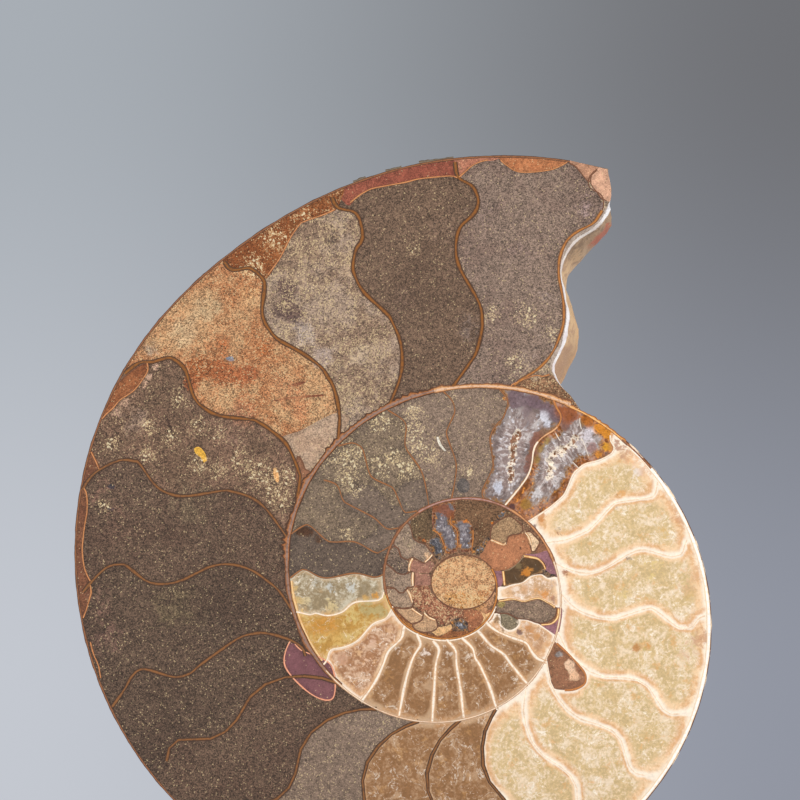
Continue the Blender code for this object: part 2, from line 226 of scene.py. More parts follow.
# What fills the chambers. Colours are as seen, 0 to 255.
# sediment: tint, accent in patches, specks of pale sand, grit in the grain, how patchy
sediments = {
    "greyBrown": ((132, 111, 97), (113, 91, 80), 0.12, 0.72, 0.5),
    "darkBrown": ((110, 87, 70), (95, 74, 59), 0.12, 0.75, 0.5),
    "speckled": ((132, 107, 88), (156, 134, 116), 1.3, 0.7, 0.6),
    "tanOrange": ((181, 139, 99), (158, 100, 62), 0.6, 0.8, 0.6),
    "paleTan": ((178, 150, 126), (166, 132, 106), 0.15, 0.45, 0.4),
    "brown": ((120, 92, 74), (100, 78, 61), 0.25, 0.85, 0.6),
    "deepBrown": ((99, 78, 63), (88, 67, 54), 0.16, 0.85, 0.6),
    "darkest": ((92, 73, 59), (80, 62, 50), 0.18, 0.85, 0.6),
    "purple": ((127, 83, 85), (112, 70, 76), 0, 0.15, 0.3),
    "greySmooth": ((128, 109, 96), (112, 95, 84), 0.25, 0.5, 0.5),
    "greenGold": ((124, 105, 86), (108, 91, 77), 0.25, 0.55, 0.5),
    "greyTan": ((134, 113, 97), (120, 100, 85), 0.35, 0.5, 0.4),
    "charcoal": ((101, 85, 73), (88, 73, 63), 0.15, 0.45, 0.5),
    "umber": ((120, 102, 88), (105, 88, 76), 0.05, 0.45, 0.3),
    "rimRust": ((138, 82, 44), (124, 68, 34), 0.6, 0.6, 0.6),
    "rimRed": ((150, 84, 64), (134, 70, 54), 0.04, 0.4, 0.6),
    "rimPink": ((182, 122, 96), (164, 100, 76), 0.1, 0.4, 0.4),
    "rimOrange": ((186, 120, 78), (168, 100, 62), 0.1, 0.3, 0.5),
    "salmon": ((214, 168, 140), (204, 152, 120), 0.05, 0.25, 0.3),
    "pinkBrown": ((194, 146, 116), (176, 126, 98), 0.1, 0.3, 0.4),
    "remnant": ((144, 106, 78), (124, 90, 64), 0.8, 0.8, 0.8),
    "rustLens": ((150, 92, 56), (128, 74, 44), 0.2, 0.4, 0.6),
    "peach": ((206, 158, 122), (190, 138, 104), 0.1, 0.3, 0.3),
    "ringGrey": ((140, 104, 78), (112, 82, 62), 0.1, 0.6, 0.8),
    "ringTan": ((150, 127, 108), (138, 112, 92), 0.12, 0.5, 0.5),
    "ringPeach": ((172, 144, 118), (158, 130, 108), 0.1, 0.45, 0.5),
    "ringPale": ((196, 154, 114), (178, 142, 110), 0.08, 0.4, 0.5),
    "ringUmber": ((108, 86, 62), (94, 72, 52), 0.05, 0.6, 0.7),
    "ringOlive": ((122, 90, 64), (98, 70, 48), 0.03, 0.6, 0.7),
    "rustBorder": ((232, 164, 88), (146, 92, 56), 0.1, 0.5, 0.8),
    "ringDark": ((128, 106, 90), (104, 86, 74), 0.15, 0.7, 0.9),
    "redSpeckled": ((152, 98, 72), (126, 78, 56), 1.7, 0.7, 0.6),
    "mauveBrown": ((168, 120, 100), (152, 104, 86), 0.1, 0.3, 0.4),
    "tanBlob": ((160, 127, 94), (148, 115, 84), 0.15, 0.45, 0.3),
    "terracotta": ((178, 118, 82), (164, 102, 68), 0, 0.25, 0.5),
    "terracottaLow": ((172, 112, 78), (156, 98, 66), 0.3, 0.4, 0.4),
    "creamWedge": ((238, 202, 162), (224, 182, 138), 0, 0.3, 0.3),
    "brownWedge": ((150, 104, 76), (136, 90, 66), 0, 0.3, 0.3),
    "mauve": ((160, 112, 118), (146, 98, 106), 0, 0.2, 0.3),
    "greySed": ((137, 113, 94), (122, 98, 82), 0.1, 0.5, 0.4),
    "greyGreen": ((150, 136, 110), (128, 112, 88), 0.1, 0.4, 0.5),
    "creamStrip": ((236, 196, 146), (214, 164, 112), 0.1, 0.4, 0.6),
    "disc": ((189, 141, 99), (178, 122, 78), 2.2, 0.62, 0.7),
    "yellowFleck": ((234, 170, 58), (240, 190, 80), 0, 0.3, 0.4),
    "orangeFleck": ((222, 166, 106), (208, 146, 88), 0, 0.3, 0.4),
    "streak": ((84, 62, 50), (70, 52, 44), 0, 0.4, 0.3),
    "rustStreak": ((140, 84, 58), (120, 72, 52), 0, 0.4, 0.3),
    "blueFleck": ((150, 154, 164), (120, 122, 134), 0, 0.3, 0.3),
    "white": ((228, 218, 200), (206, 190, 166), 0, 0.3, 0.3),
    "inkSpot": ((64, 60, 66), (50, 44, 48), 0, 0.4, 0.5),
    "greySpot": ((104, 94, 88), (96, 86, 82), 0, 0.4, 0.5),
    "rimShell": ((132, 86, 60), (112, 70, 50), 0.05, 0.4, 0.5),
}
# calcite: deep tint, milky accent, mm of pale band along its walls, milkiness, peach in the band
calcites = {
    "golden": ((188, 142, 70), (212, 182, 118), 0.35, 0.3, 0.4),
    "foldPeach": ((170, 122, 86), (216, 180, 150), 0.5, 0.45, 0.8),
    "smoky": ((156, 136, 104), (200, 188, 164), 0.4, 0.5, 0.3),
    "olive": ((216, 187, 138), (236, 214, 186), 1, 0.5, 1),
    "oliveRim": ((214, 185, 136), (234, 211, 181), 1, 0.5, 1),
    "brownCalcite": ((150, 108, 70), (184, 148, 114), 0.4, 0.35, 0.45),
    "oliveGlass": ((92, 68, 44), (116, 86, 54), 0.2, 0.1, 0.3),
    "calciteWedge": ((206, 164, 124), (242, 222, 204), 0.5, 0.5, 0.8),
    "calciteFold": ((196, 150, 110), (234, 208, 184), 0.5, 0.5, 0.8),
    "whiteBand": ((200, 180, 164), (240, 232, 228), 0.4, 0.6, 0.3),
}
# druse: tint at the wall, of the crystals and of the crest, share of rust, holes and frost
druses = {
    "druseGrey": ((150, 94, 56), (142, 122, 116), (234, 218, 198), 0.05, 1, 0.75),
    "druseAmber": ((156, 92, 42), (152, 130, 122), (238, 222, 200), 0.34, 0.3, 0.8),
    "druseRing": ((128, 70, 40), (116, 106, 110), (172, 164, 168), 0.12, 0, 0.5),
    "druseDark": ((70, 54, 48), (76, 74, 80), (120, 120, 132), 0.1, 0, 0.45),
}

# loops inside a chamber, or across it, with their own filling and edge line
patches = (
    ("rimRed", None, ((-27, 96.2), (-24.5, 98.2), (-22.5, 99.5), (-20, 100.5), (-12.5, 101.9),
     (-8.8, 102.8), (-1.2, 103.5), (0.5, 103.2), (0.2, 109.5), (-8.8, 109.5), (-18.8, 107),
     (-30, 102.5))),
    ("rimRust", None, ((-28.5, 102.8), (-29.2, 95.8), (-32.5, 94), (-37.5, 92.2), (-39, 91.2),
     (-41.5, 87.5), (-43.8, 83), (-47.2, 77.8), (-49.8, 79.5), (-51.2, 80.4), (-54.8, 80), (-56.5, 80.5),
     (-58.2, 82.2), (-60.5, 84.2), (-53.8, 89.5), (-43.8, 96))),
    ("rimShell", None, ((-90.9, 34.8), (-90, 33.2), (-88.5, 30.4), (-90.6, 28.9), (-92.4, 26.6),
     (-93.6, 24.4), (-97, 24), (-96, 36))),
    ("rimPink", None, ((0.5, 109.5), (1, 103.2), (2.5, 104.5), (4.2, 106), (6.2, 107), (10.5, 107.6),
     (10.5, 109.5))),
    ("rimOrange", "rimEdge", ((11.2, 109.5), (11.4, 107.5), (13.2, 106), (15, 104.8), (17.5, 104.4),
     (22.5, 104.8), (25.2, 105.5), (28.5, 107.4), (28.5, 109.5))),
    ("pinkBrown", "fineEdge", ((28.5, 109), (28.6, 106.8), (30.2, 105.8), (33.5, 102), (34.2, 104),
     (36, 105.8), (35.5, 108))),
    ("salmon", "fineEdge", ((36, 107.5), (36, 105.6), (34.2, 104), (34, 101.5), (35.5, 99.5),
     (37.2, 97.6), (42, 97.4), (42, 107))),
    ("rustLens", "fineEdge", ((-86.2, 49), (-84.2, 51.8), (-80.5, 55), (-77, 56.8), (-76.8, 55),
     (-78, 52.8), (-80, 50.2), (-81.8, 48.8), (-83.8, 47.5), (-85.5, 45.5), (-87.2, 44), (-88.2, 42.8),
     (-92, 45))),
    ("paleTan", None, ((-43.2, 38.2), (-38.8, 39.8), (-33.8, 42.5), (-29.8, 44.2), (-26.5, 43.4),
     (-27.6, 40.5), (-31.5, 36), (-36.5, 29), (-38.6, 26), (-38.8, 28.6), (-39.8, 32), (-41.4, 36))),
    ("brownWedge", "fineEdge", ((-39.4, 33.4), (-38.2, 32.2), (-37.4, 30.2), (-36, 29.4), (-36.8, 27),
     (-38.2, 25.6), (-39.6, 28))),
    ("rimShell", None, ((-92.8, 25.5), (-92.1, 23.8), (-92, 20), (-92.6, 16.2), (-92.9, 13.8),
     (-93.2, 10), (-92.8, 6.2), (-91.2, 1.5), (-91, -0.5), (-91.5, -2.5), (-93, -7), (-96.5, -7),
     (-98, 4), (-98, 16), (-95, 27))),
    ("purple", "pinkEdge",
     ((-41, -12.6), (-38.5, -15), (-31, -18.8), (-30.5, -27), (-36, -26), (-42.5, -19))),
    ("remnant", "rimEdge", ((14, 50.9), (16.5, 52.4), (20, 53.6), (22, 53.4), (24.4, 53.8), (26.3, 51.4),
     (29.2, 48.6), (30.5, 45.2), (27.1, 47.2), (22.7, 48.9), (18.1, 50.1))),
    ("umber", None, ((-28.5, 22.5), (-24.5, 25.6), (-23, 26.5), (-19.5, 25.2), (-16.2, 21.5),
     (-13.2, 20.5), (-11, 17), (-14, 14.4), (-16.8, 14.6), (-20.8, 17.4), (-26.4, 20.4))),
    ("umber", None, ((-21, 13.6), (-19, 16), (-16.2, 15.6), (-13, 14.8), (-16, 9.8), (-19, 9.4),
     (-24.5, 11.5))),
    ("umber", None, ((-12.5, 26.8), (-8, 27.4), (-6.5, 24), (-5.5, 20.8), (-11.5, 19), (-13, 20.2),
     (-14.6, 24.2))),
    ("yellowFleck", None, ((-65.2, 35.4), (-64, 35.8), (-62.6, 34.4), (-62, 32.4), (-62.8, 31.8),
     (-63.6, 33.2), (-64.8, 34))),
    ("orangeFleck", None,
     ((-45.4, 30.4), (-44.8, 30.6), (-44, 28.6), (-44.2, 26.8), (-44.8, 27.2), (-45.4, 28.6))),
    ("streak", None, ((-72.4, 43.4), (-72, 43.6), (-70.6, 39.6), (-71, 39.2))),
    ("rustStreak", None, ((-42, 51.2), (-37.6, 52.2), (-37.4, 51.8), (-39.5, 51), (-41.8, 50.8))),
    ("rustStreak", None, ((-46, 47.2), (-40.5, 48.4), (-32.8, 48.9), (-32.8, 48.5), (-40.5, 47.8))),
    ("blueFleck", None, ((-57.4, 58), (-55.6, 58.4), (-55.2, 57.4), (-56.4, 57.2))),
    ("white", None, ((-4.6, 38.2), (-4.2, 38.4), (-3.4, 36.4), (-2.2, 34.8), (-2.6, 34.7), (-4, 36.2))),
    ("inkSpot", None, ((-87, 25.8), (-86, 26.5), (-84.9, 25.9), (-85.2, 25.2), (-86.4, 25.4))),
    ("inkSpot", None, ((-87, 20.2), (-85.8, 20.8), (-85, 20.3), (-85.8, 19.8))),
    ("greySpot", None, ((1, 27.5), (2.2, 28), (3.6, 26.6), (3.2, 24.6), (1.2, 24.4), (0.4, 26))),
)
# the loops around the centre
centrePatches = (
    ("ringUmber", None, ((-11, 17.1), (-9, 18.8), (-7.6, 19.8), (-5.4, 20.4), (-5.4, 16.5), (-5.5, 15.1),
     (-4.9, 14.2), (-6.5, 12.6), (-7.6, 11.5), (-9, 12.1), (-10.4, 13.2), (-10.9, 15.4))),
    ("druseRing", None, ((-5.6, 20.1), (-3.6, 21.6), (0.2, 22), (0.1, 19.6), (-1, 18.4), (-1.2, 16.8),
     (0.4, 15), (0.5, 12), (0.4, 9.6), (-2, 9.1), (-2.6, 10.4), (-3.3, 12.4), (-3.9, 14), (-5.5, 14.9),
     (-5.7, 17.5))),
    ("druseRing", None, ((-0.9, 17.4), (1.8, 17.4), (3.6, 17.1), (4.4, 15.4), (4.6, 13.6), (4.2, 11.8),
     (4, 9.8), (1.6, 9.6), (1.1, 10.8), (0.7, 12.6), (0.4, 15.1))),
    ("ringOlive", None, ((0.2, 22.2), (4.5, 22.2), (8, 22), (11.6, 20.8), (14.8, 18.8), (13.2, 18.4),
     (11.6, 17.6), (9.2, 16.7), (8.9, 12.9), (8, 10.9), (6.9, 9.1), (4.2, 9.1), (4.6, 13.6), (4.4, 15.4),
     (3.6, 17.1), (1.8, 17.4), (-0.9, 17.4), (-0.9, 18.6), (0.2, 19.6))),
    ("druseDark", None,
     ((10.4, 17.4), (11.4, 17.7), (12.9, 19.2), (12.6, 19.8), (11.2, 19.2), (10.5, 18.4))),
    ("druseDark", None, ((-6.5, 12.2), (-5.1, 13.7), (-4, 13.4), (-3.4, 11.8), (-2.7, 9.9), (-3.2, 8.2),
     (-4.3, 7.4), (-5.2, 8.8), (-6, 10.4))),
    ("druseDark", None,
     ((4.6, 10.6), (6.1, 11), (7.6, 13), (8.7, 13.2), (8.4, 11.8), (7, 9.2), (4.6, 9.1))),
    ("tanBlob", "fineEdge", ((9, 15.1), (9.6, 16.4), (11.8, 17.8), (13.5, 18.5), (15.1, 17.6), (16.8, 16),
     (16.9, 14.9), (16, 14), (14.3, 13.8), (13.2, 13.1), (12.8, 11.6), (12.3, 11.3), (10.7, 11.8),
     (9, 12.6))),
    ("terracotta", None, ((17, 14.4), (17.9, 13.3), (18.5, 11.3), (19, 9.3), (17, 8.7), (15.8, 6.9),
     (13.8, 5.5), (11.6, 4.9), (9.8, 4.8), (6.2, 8.4), (7.1, 9.6), (8, 11.8), (8.9, 12.5), (10.7, 11.8),
     (12.4, 11.2), (12.8, 11.6), (13.3, 13.2), (14.5, 13.8), (16, 14))),
    ("creamWedge", "fineEdge", ((17.4, 14.3), (18.8, 14.6), (19.6, 13.8), (21.1, 12.1), (20.7, 10.7),
     (19.9, 9.7), (19.2, 9.6), (18.9, 11.2), (18.5, 12.9))),
    ("brownWedge", None, ((19.9, 9.6), (21.1, 11.9), (22, 11.5), (23.4, 10.1), (22.4, 9.6), (20.7, 9.2))),
    ("mauve", None, ((17.4, 8.9), (19, 9), (20.7, 9.1), (23.2, 9.8), (24.9, 7.4), (25.6, 4.4),
     (25.5, 3.4), (23.4, 3.6), (22.6, 4.6), (22.8, 6), (21.8, 7.4), (20.7, 8), (19, 8.2))),
    ("oliveGlass", None, ((12, 4.8), (13.5, 5.2), (15.7, 6.8), (17.1, 8.3), (19, 8.2), (20.7, 7.8),
     (22.1, 6.4), (22.6, 4.8), (20.7, 4.2), (19, 3.5), (16.8, 1.9), (14.3, 1.4), (12.3, 0.9),
     (12.1, 2.4))),
    ("druseDark", None,
     ((21.8, 4.9), (22.6, 5), (24, 4), (25.2, 3.9), (25.2, 3.1), (23.2, 3), (22, 3.8))),
    ("mauve", None, ((7.6, 7), (9.6, 4.9), (11.8, 4.7), (12, 3.2), (11.8, 1.5), (11, 0.7), (10.3, 2.9),
     (9.2, 4.9))),
    ("calciteWedge", None, ((10.6, 0.6), (12.4, 0.8), (14.3, 1.4), (16.8, 1.9), (19, 3.5), (21.8, 3.9),
     (23.2, 3), (25.6, 3.2), (26.8, 0.2), (26.6, -4.2), (25.8, -4.4), (24.3, -3.9), (23, -3),
     (21.2, -2.2), (19.6, -2.3), (17.1, -2.9), (14.3, -2.3), (10.9, -2.6))),
    ("greySed", "fineEdge", ((10.7, -2.8), (14.3, -2.4), (17.1, -3), (19.6, -2.4), (21.2, -2.3),
     (23, -3.2), (24.3, -4), (25.4, -4.6), (25.2, -6.2), (24.2, -7.4), (22.6, -8.2), (20.6, -8.2),
     (18.2, -7.4), (15.7, -7.1), (13.2, -5.9), (10.4, -5.6))),
    ("mauve", None, ((25.9, -4.4), (26.7, -4.4), (26.8, -6.2), (25.9, -10.9), (24.6, -11.1), (23.2, -10),
     (21.3, -8.7), (24, -8.5), (25.5, -7.2))),
    ("greyGreen", None, ((11.6, -5.8), (13.2, -6.2), (15.2, -7.2), (16, -8.2), (15.2, -9.4), (13.4, -10),
     (11.6, -8.8), (11.4, -7.2))),
    ("calciteFold", None, ((7.4, -7.8), (9.8, -5.9), (11.2, -6), (11.4, -7.2), (11.6, -8.8), (13.4, -10),
     (15.2, -9.4), (16, -8.2), (15.8, -7.2), (18.2, -7.5), (20.6, -8.3), (21.3, -8.7), (23.2, -10),
     (25.2, -11.4), (26.4, -13), (25.6, -16.4), (24.4, -18.4), (22.6, -18), (20.5, -17), (19.1, -15.3),
     (17.7, -13.2), (14.5, -12), (11.5, -10.8), (9.5, -9.6))),
    ("terracottaLow", None, ((1.6, -4.7), (6.2, -5.2), (9.6, -5), (9.4, -7), (8, -8.3), (6, -9.8),
     (3.8, -10.3), (2.6, -8.2))),
    ("creamStrip", None,
     ((6.4, -5.4), (7.8, -6), (9.2, -5.4), (9.4, -6.6), (7.8, -8.2), (6.6, -8.4), (7.2, -7))),
    ("rustBorder", None, ((-16.4, -2.4), (-16.2, -3.6), (-14.9, -5.6), (-13.2, -7.6), (-11.1, -9.4),
     (-8.8, -10.6), (-6.6, -11.4), (-4.4, -11.9), (-2.1, -12), (0, -11.8), (2, -11.3), (3.9, -10.5),
     (2.6, -10.2), (0.4, -10.4), (-0.6, -10.2), (-1, -9.6), (-3, -11.3), (-5, -11.3), (-7.9, -10.6),
     (-9.9, -9.9), (-10.7, -8.6), (-13.2, -6.5), (-15.2, -4.4))),
    ("creamStrip", None, ((-6.2, -10.4), (-4.4, -9.4), (-2.2, -9), (-1, -8.6), (-0.6, -9.4),
     (-2.1, -10.7), (-4.6, -11.5), (-5.4, -10.8))),
    ("redSpeckled", None, ((-10.6, 0.2), (-9.7, 1.6), (-7, 1.4), (-5.9, -0.8), (-3.9, -2.4), (-0.8, -3.9),
     (2, -4.6), (2.2, -6.6), (1.6, -7.6), (0.2, -7.6), (-1, -8), (-2.3, -8.9), (-3.9, -8.5), (-4.6, -7.3),
     (-5.4, -7.2), (-7.4, -5.6), (-8.1, -5.5), (-9.5, -4.3), (-10.6, -2.8), (-11.2, -0.8))),
    ("druseDark", None, ((-0.9, -7.4), (1.3, -7), (2.6, -7.6), (3.3, -8.6), (2.8, -10.2), (0.9, -10),
     (-0.6, -8.8))),
    ("ringDark", "fineEdge", ((-15.1, 11), (-14.2, 10.4), (-13.5, 8.2), (-11.8, 7.6), (-11.3, 6.6),
     (-11.6, 4.6), (-12.8, 3.9), (-14.6, 4.3), (-15.7, 5.4), (-17.4, 6.8), (-17.4, 8.2), (-16.4, 9.9))),
    ("ringTan", "fineEdge", ((-14.2, 15.4), (-11.8, 16.7), (-10.8, 14.6), (-10.4, 12.9), (-9, 11.9),
     (-7.6, 11.5), (-6.2, 9.7), (-5.5, 8.8), (-7.5, 6.8), (-9.3, 7.5), (-10.7, 8.2), (-11.8, 7.6),
     (-13.4, 8.3), (-14.1, 10.3), (-15.3, 11.4))),
    ("ringTan", "fineEdge", ((-17.8, 6.4), (-15.7, 5.4), (-14.6, 4.3), (-12.8, 3.9), (-10.3, 4.4),
     (-10.3, 1), (-11.8, 0.7), (-12.9, -0.7), (-14, -0.7), (-15.1, 0.4), (-17.6, 0.8))),
    ("ringPeach", "fineEdge", ((-17.4, 0.6), (-15.1, 0.4), (-14, -0.7), (-12.9, -0.7), (-12, 0.4),
     (-11.2, -1.4), (-10.4, -3.2), (-10.8, -4.2), (-11.8, -4.7), (-13.2, -4.6), (-15.1, -4.3),
     (-16.6, -2.6))),
    ("ringPale", "fineEdge", ((-15.1, -4.4), (-13.2, -4.6), (-11, -4.5), (-8.1, -6.4), (-8.2, -7.4),
     (-9.3, -8.1), (-10.7, -8.5), (-13.2, -6.6))),
    ("ringPale", "fineEdge", ((-10.7, -8.5), (-9.3, -8.1), (-8.1, -7.2), (-7.8, -5.5), (-6.5, -6.6),
     (-4.9, -7.3), (-4.4, -9.2), (-5.4, -10.2), (-7.9, -10.6), (-9.9, -9.9))),
    ("mauveBrown", None, ((-10.4, 7.5), (-7.6, 6.8), (-6.8, 7.4), (-5.1, 6.5), (-5.7, 5.4), (-6.5, 4.3),
     (-10.1, 4.4), (-11.1, 4.9), (-11.1, 6))),
    ("mauveBrown", None, ((-10.1, 4.2), (-7.9, 3.9), (-6.5, 4.1), (-6.2, 1.3), (-9.7, 1.2), (-10.2, 1))),
    ("brownWedge", None, ((25.1, -12.9), (25.7, -13.8), (28.2, -16.2), (31, -19.2), (32.6, -21.2),
     (32.4, -23.4), (30, -24.8), (26.9, -25), (24.3, -24.3), (23.5, -21.4), (22.9, -18.8), (23, -17.3),
     (24.1, -14.8))),
)
# single lines among them and in the druses: kind of line, then points
brightRuns = (
    ("paleEdge", (-10.6, 7.9), (-11.3, 6.5), (-11.5, 4.7)),
    ("paleEdge", (-10.5, 4.4), (-10.6, 2.5), (-10.5, 1)),
    ("paleEdge", (-11.9, 0.1), (-11.2, -1.3), (-10.6, -3.1)),
    ("paleEdge", (-10.8, -4.6), (-9.6, -5.5), (-8.2, -6.4)),
    ("paleEdge", (-7.7, -5.6), (-6.6, -6.8), (-4.9, -7.5)),
    ("paleEdge", (-5.6, 8.8), (-6.5, 7.8), (-7.5, 6.9)),
    ("paleEdge", (9, 12.5), (10.7, 11.8), (12.2, 11.3), (12.8, 11.8)),
    ("paleEdge", (17.5, 14.4), (18.5, 12.9), (19, 11.2)),
    ("amberEdge", (17.2, 8.5), (19, 8.2), (20.7, 7.8), (22, 6.6), (22.6, 5.2)),
    ("amberEdge", (12, 4.7), (12.2, 3.1), (12.4, 1.2)),
    ("amberEdge", (10.9, -2.7), (14.3, -2.3), (17.1, -2.9), (19.6, -2.3), (21.2, -2.2), (23, -3.1),
     (25, -4.3)),
    ("amberEdge", (25.9, -4.6), (25.6, -6.9), (24.1, -8.4), (21.6, -8.7)),
    ("vein", (25.2, 39.2), (25.6, 38.4), (26.3, 37.3)),
    ("vein", (31.6, 38), (32.5, 36), (33.4, 33.4)),
    ("vein", (29.4, 32), (30.1, 31.3), (30.9, 30.5)),
    ("vein", (31.2, 43), (31.2, 41.8), (31.6, 40.2)),
    ("orangeEdge", (-5.6, 15), (-4, 14), (-3.2, 12.4), (-2.4, 10.2), (-2.2, 9.2)),
    ("orangeEdge", (-1, 18.4), (-1.2, 16.8), (0.4, 15), (0.6, 12.4), (0.8, 10.6)),
    ("orangeEdge", (4.5, 15), (4.5, 12.4), (4.2, 10.2), (4.4, 9.2)),
    ("orangeSeptum", (25.4, -13.3), (28.4, -16.1), (31.1, -19), (32.6, -21.2), (32.4, -23.4), (30, -24.8),
     (27.4, -25.1)),
    ("fineEdge", (-7.4, -5.4), (-6.2, -6.6), (-4.9, -7.1)),
)
disc = {"centre": (2.1, 2), "radii": (8.1, 6.8), "steps": 60}    # the first turn, filled with sand

# one point in each chamber, and what fills it
chambers = (
    ("greyBrown", 20, 80), ("darkBrown", -8.8, 77.5), ("speckled", -32.5, 75), ("tanOrange", -53.8, 60),
    ("brown", -68.8, 38), ("deepBrown", -71, 15), ("darkest", -66, -5), ("darkest", -53.8, -16.2),
    ("foldPeach", -22, -14.5), ("golden", -30, -9), ("smoky", -28.8, 0), ("charcoal", -28.8, 7.5),
    ("greySmooth", -34, 20), ("greenGold", -26, 31), ("greenGold", -17, 36), ("greyTan", -7, 38),
    ("greyTan", 4, 38), ("druseGrey", 14, 30), ("druseAmber", 25, 31), ("olive", 38, 26),
    ("olive", 46, 15.5), ("olive", 48, 1), ("oliveRim", 48, -12), ("ringGrey", -8, 16),
    ("brownCalcite", -14.5, -18.5), ("brownCalcite", -8, -18.5), ("brownCalcite", -2.2, -18.5),
    ("brownCalcite", 2.9, -18.5), ("brownCalcite", 9.6, -18.6), ("brownCalcite", 17, -17.5),
    ("peach", 22, 52), ("whiteBand", 37.4, 95.8), ("speckled", 22.9, 55.7),
)

# the septum beside the broken end, from the rim inwards
lastSeptum = (
    (35.3, 104.8), (33.6, 103.2), (33.4, 101.2), (34.5, 100), (36.2, 99.1), (37.1, 97.6), (37, 95.5),
    (36, 93.6), (34.4, 91.6), (30.6, 89.6), (28.1, 87.5), (26.8, 85), (26.1, 82.5), (25.9, 80),
    (26.1, 77.5), (26.6, 75), (27.2, 71), (27.2, 67.5), (26.7, 65), (25.8, 62.5), (24.7, 60), (23, 57.5),
    (20.9, 55.4), (18.6, 53.8), (16.5, 52.5), (14.8, 51.2),
)
# lines where a rim filling ends
rimLines = (
    ((-26.2, 96.8), (-24.5, 98.2), (-22.5, 99.5), (-20, 100.5), (-12.5, 101.9), (-8.8, 102.8),
     (-1.2, 103.5), (0.5, 103)),
    ((-30, 95.2), (-32.5, 94), (-37.5, 92.2), (-39, 91.2), (-41.5, 87.5), (-43.8, 83), (-46.8, 78.8)),
    ((1, 103.2), (2.5, 104.5), (4.2, 106), (6.2, 107), (8.2, 107.5)),
    ((-77, 56.8), (-76.8, 55), (-78, 52.8), (-80, 50.2), (-81.8, 48.8), (-83.8, 47.5), (-85.5, 45.5),
     (-87.2, 44), (-88.2, 42.8)),
    ((-91, 34.5), (-90, 32.5), (-89, 30.2)),
    ((-92.8, 25.5), (-92.1, 23.8), (-92, 20), (-92.6, 16.2), (-92.9, 13.8), (-93.2, 10), (-92.8, 6.2),
     (-92.2, 4.2), (-91.2, 2.2)),
    ((-91.2, 1.2), (-91, -0.5), (-91.5, -2.5), (-92.2, -5), (-93, -7)),
    ((-91.2, -13), (-90.4, -16), (-89.2, -18.8), (-88.6, -22)),
)
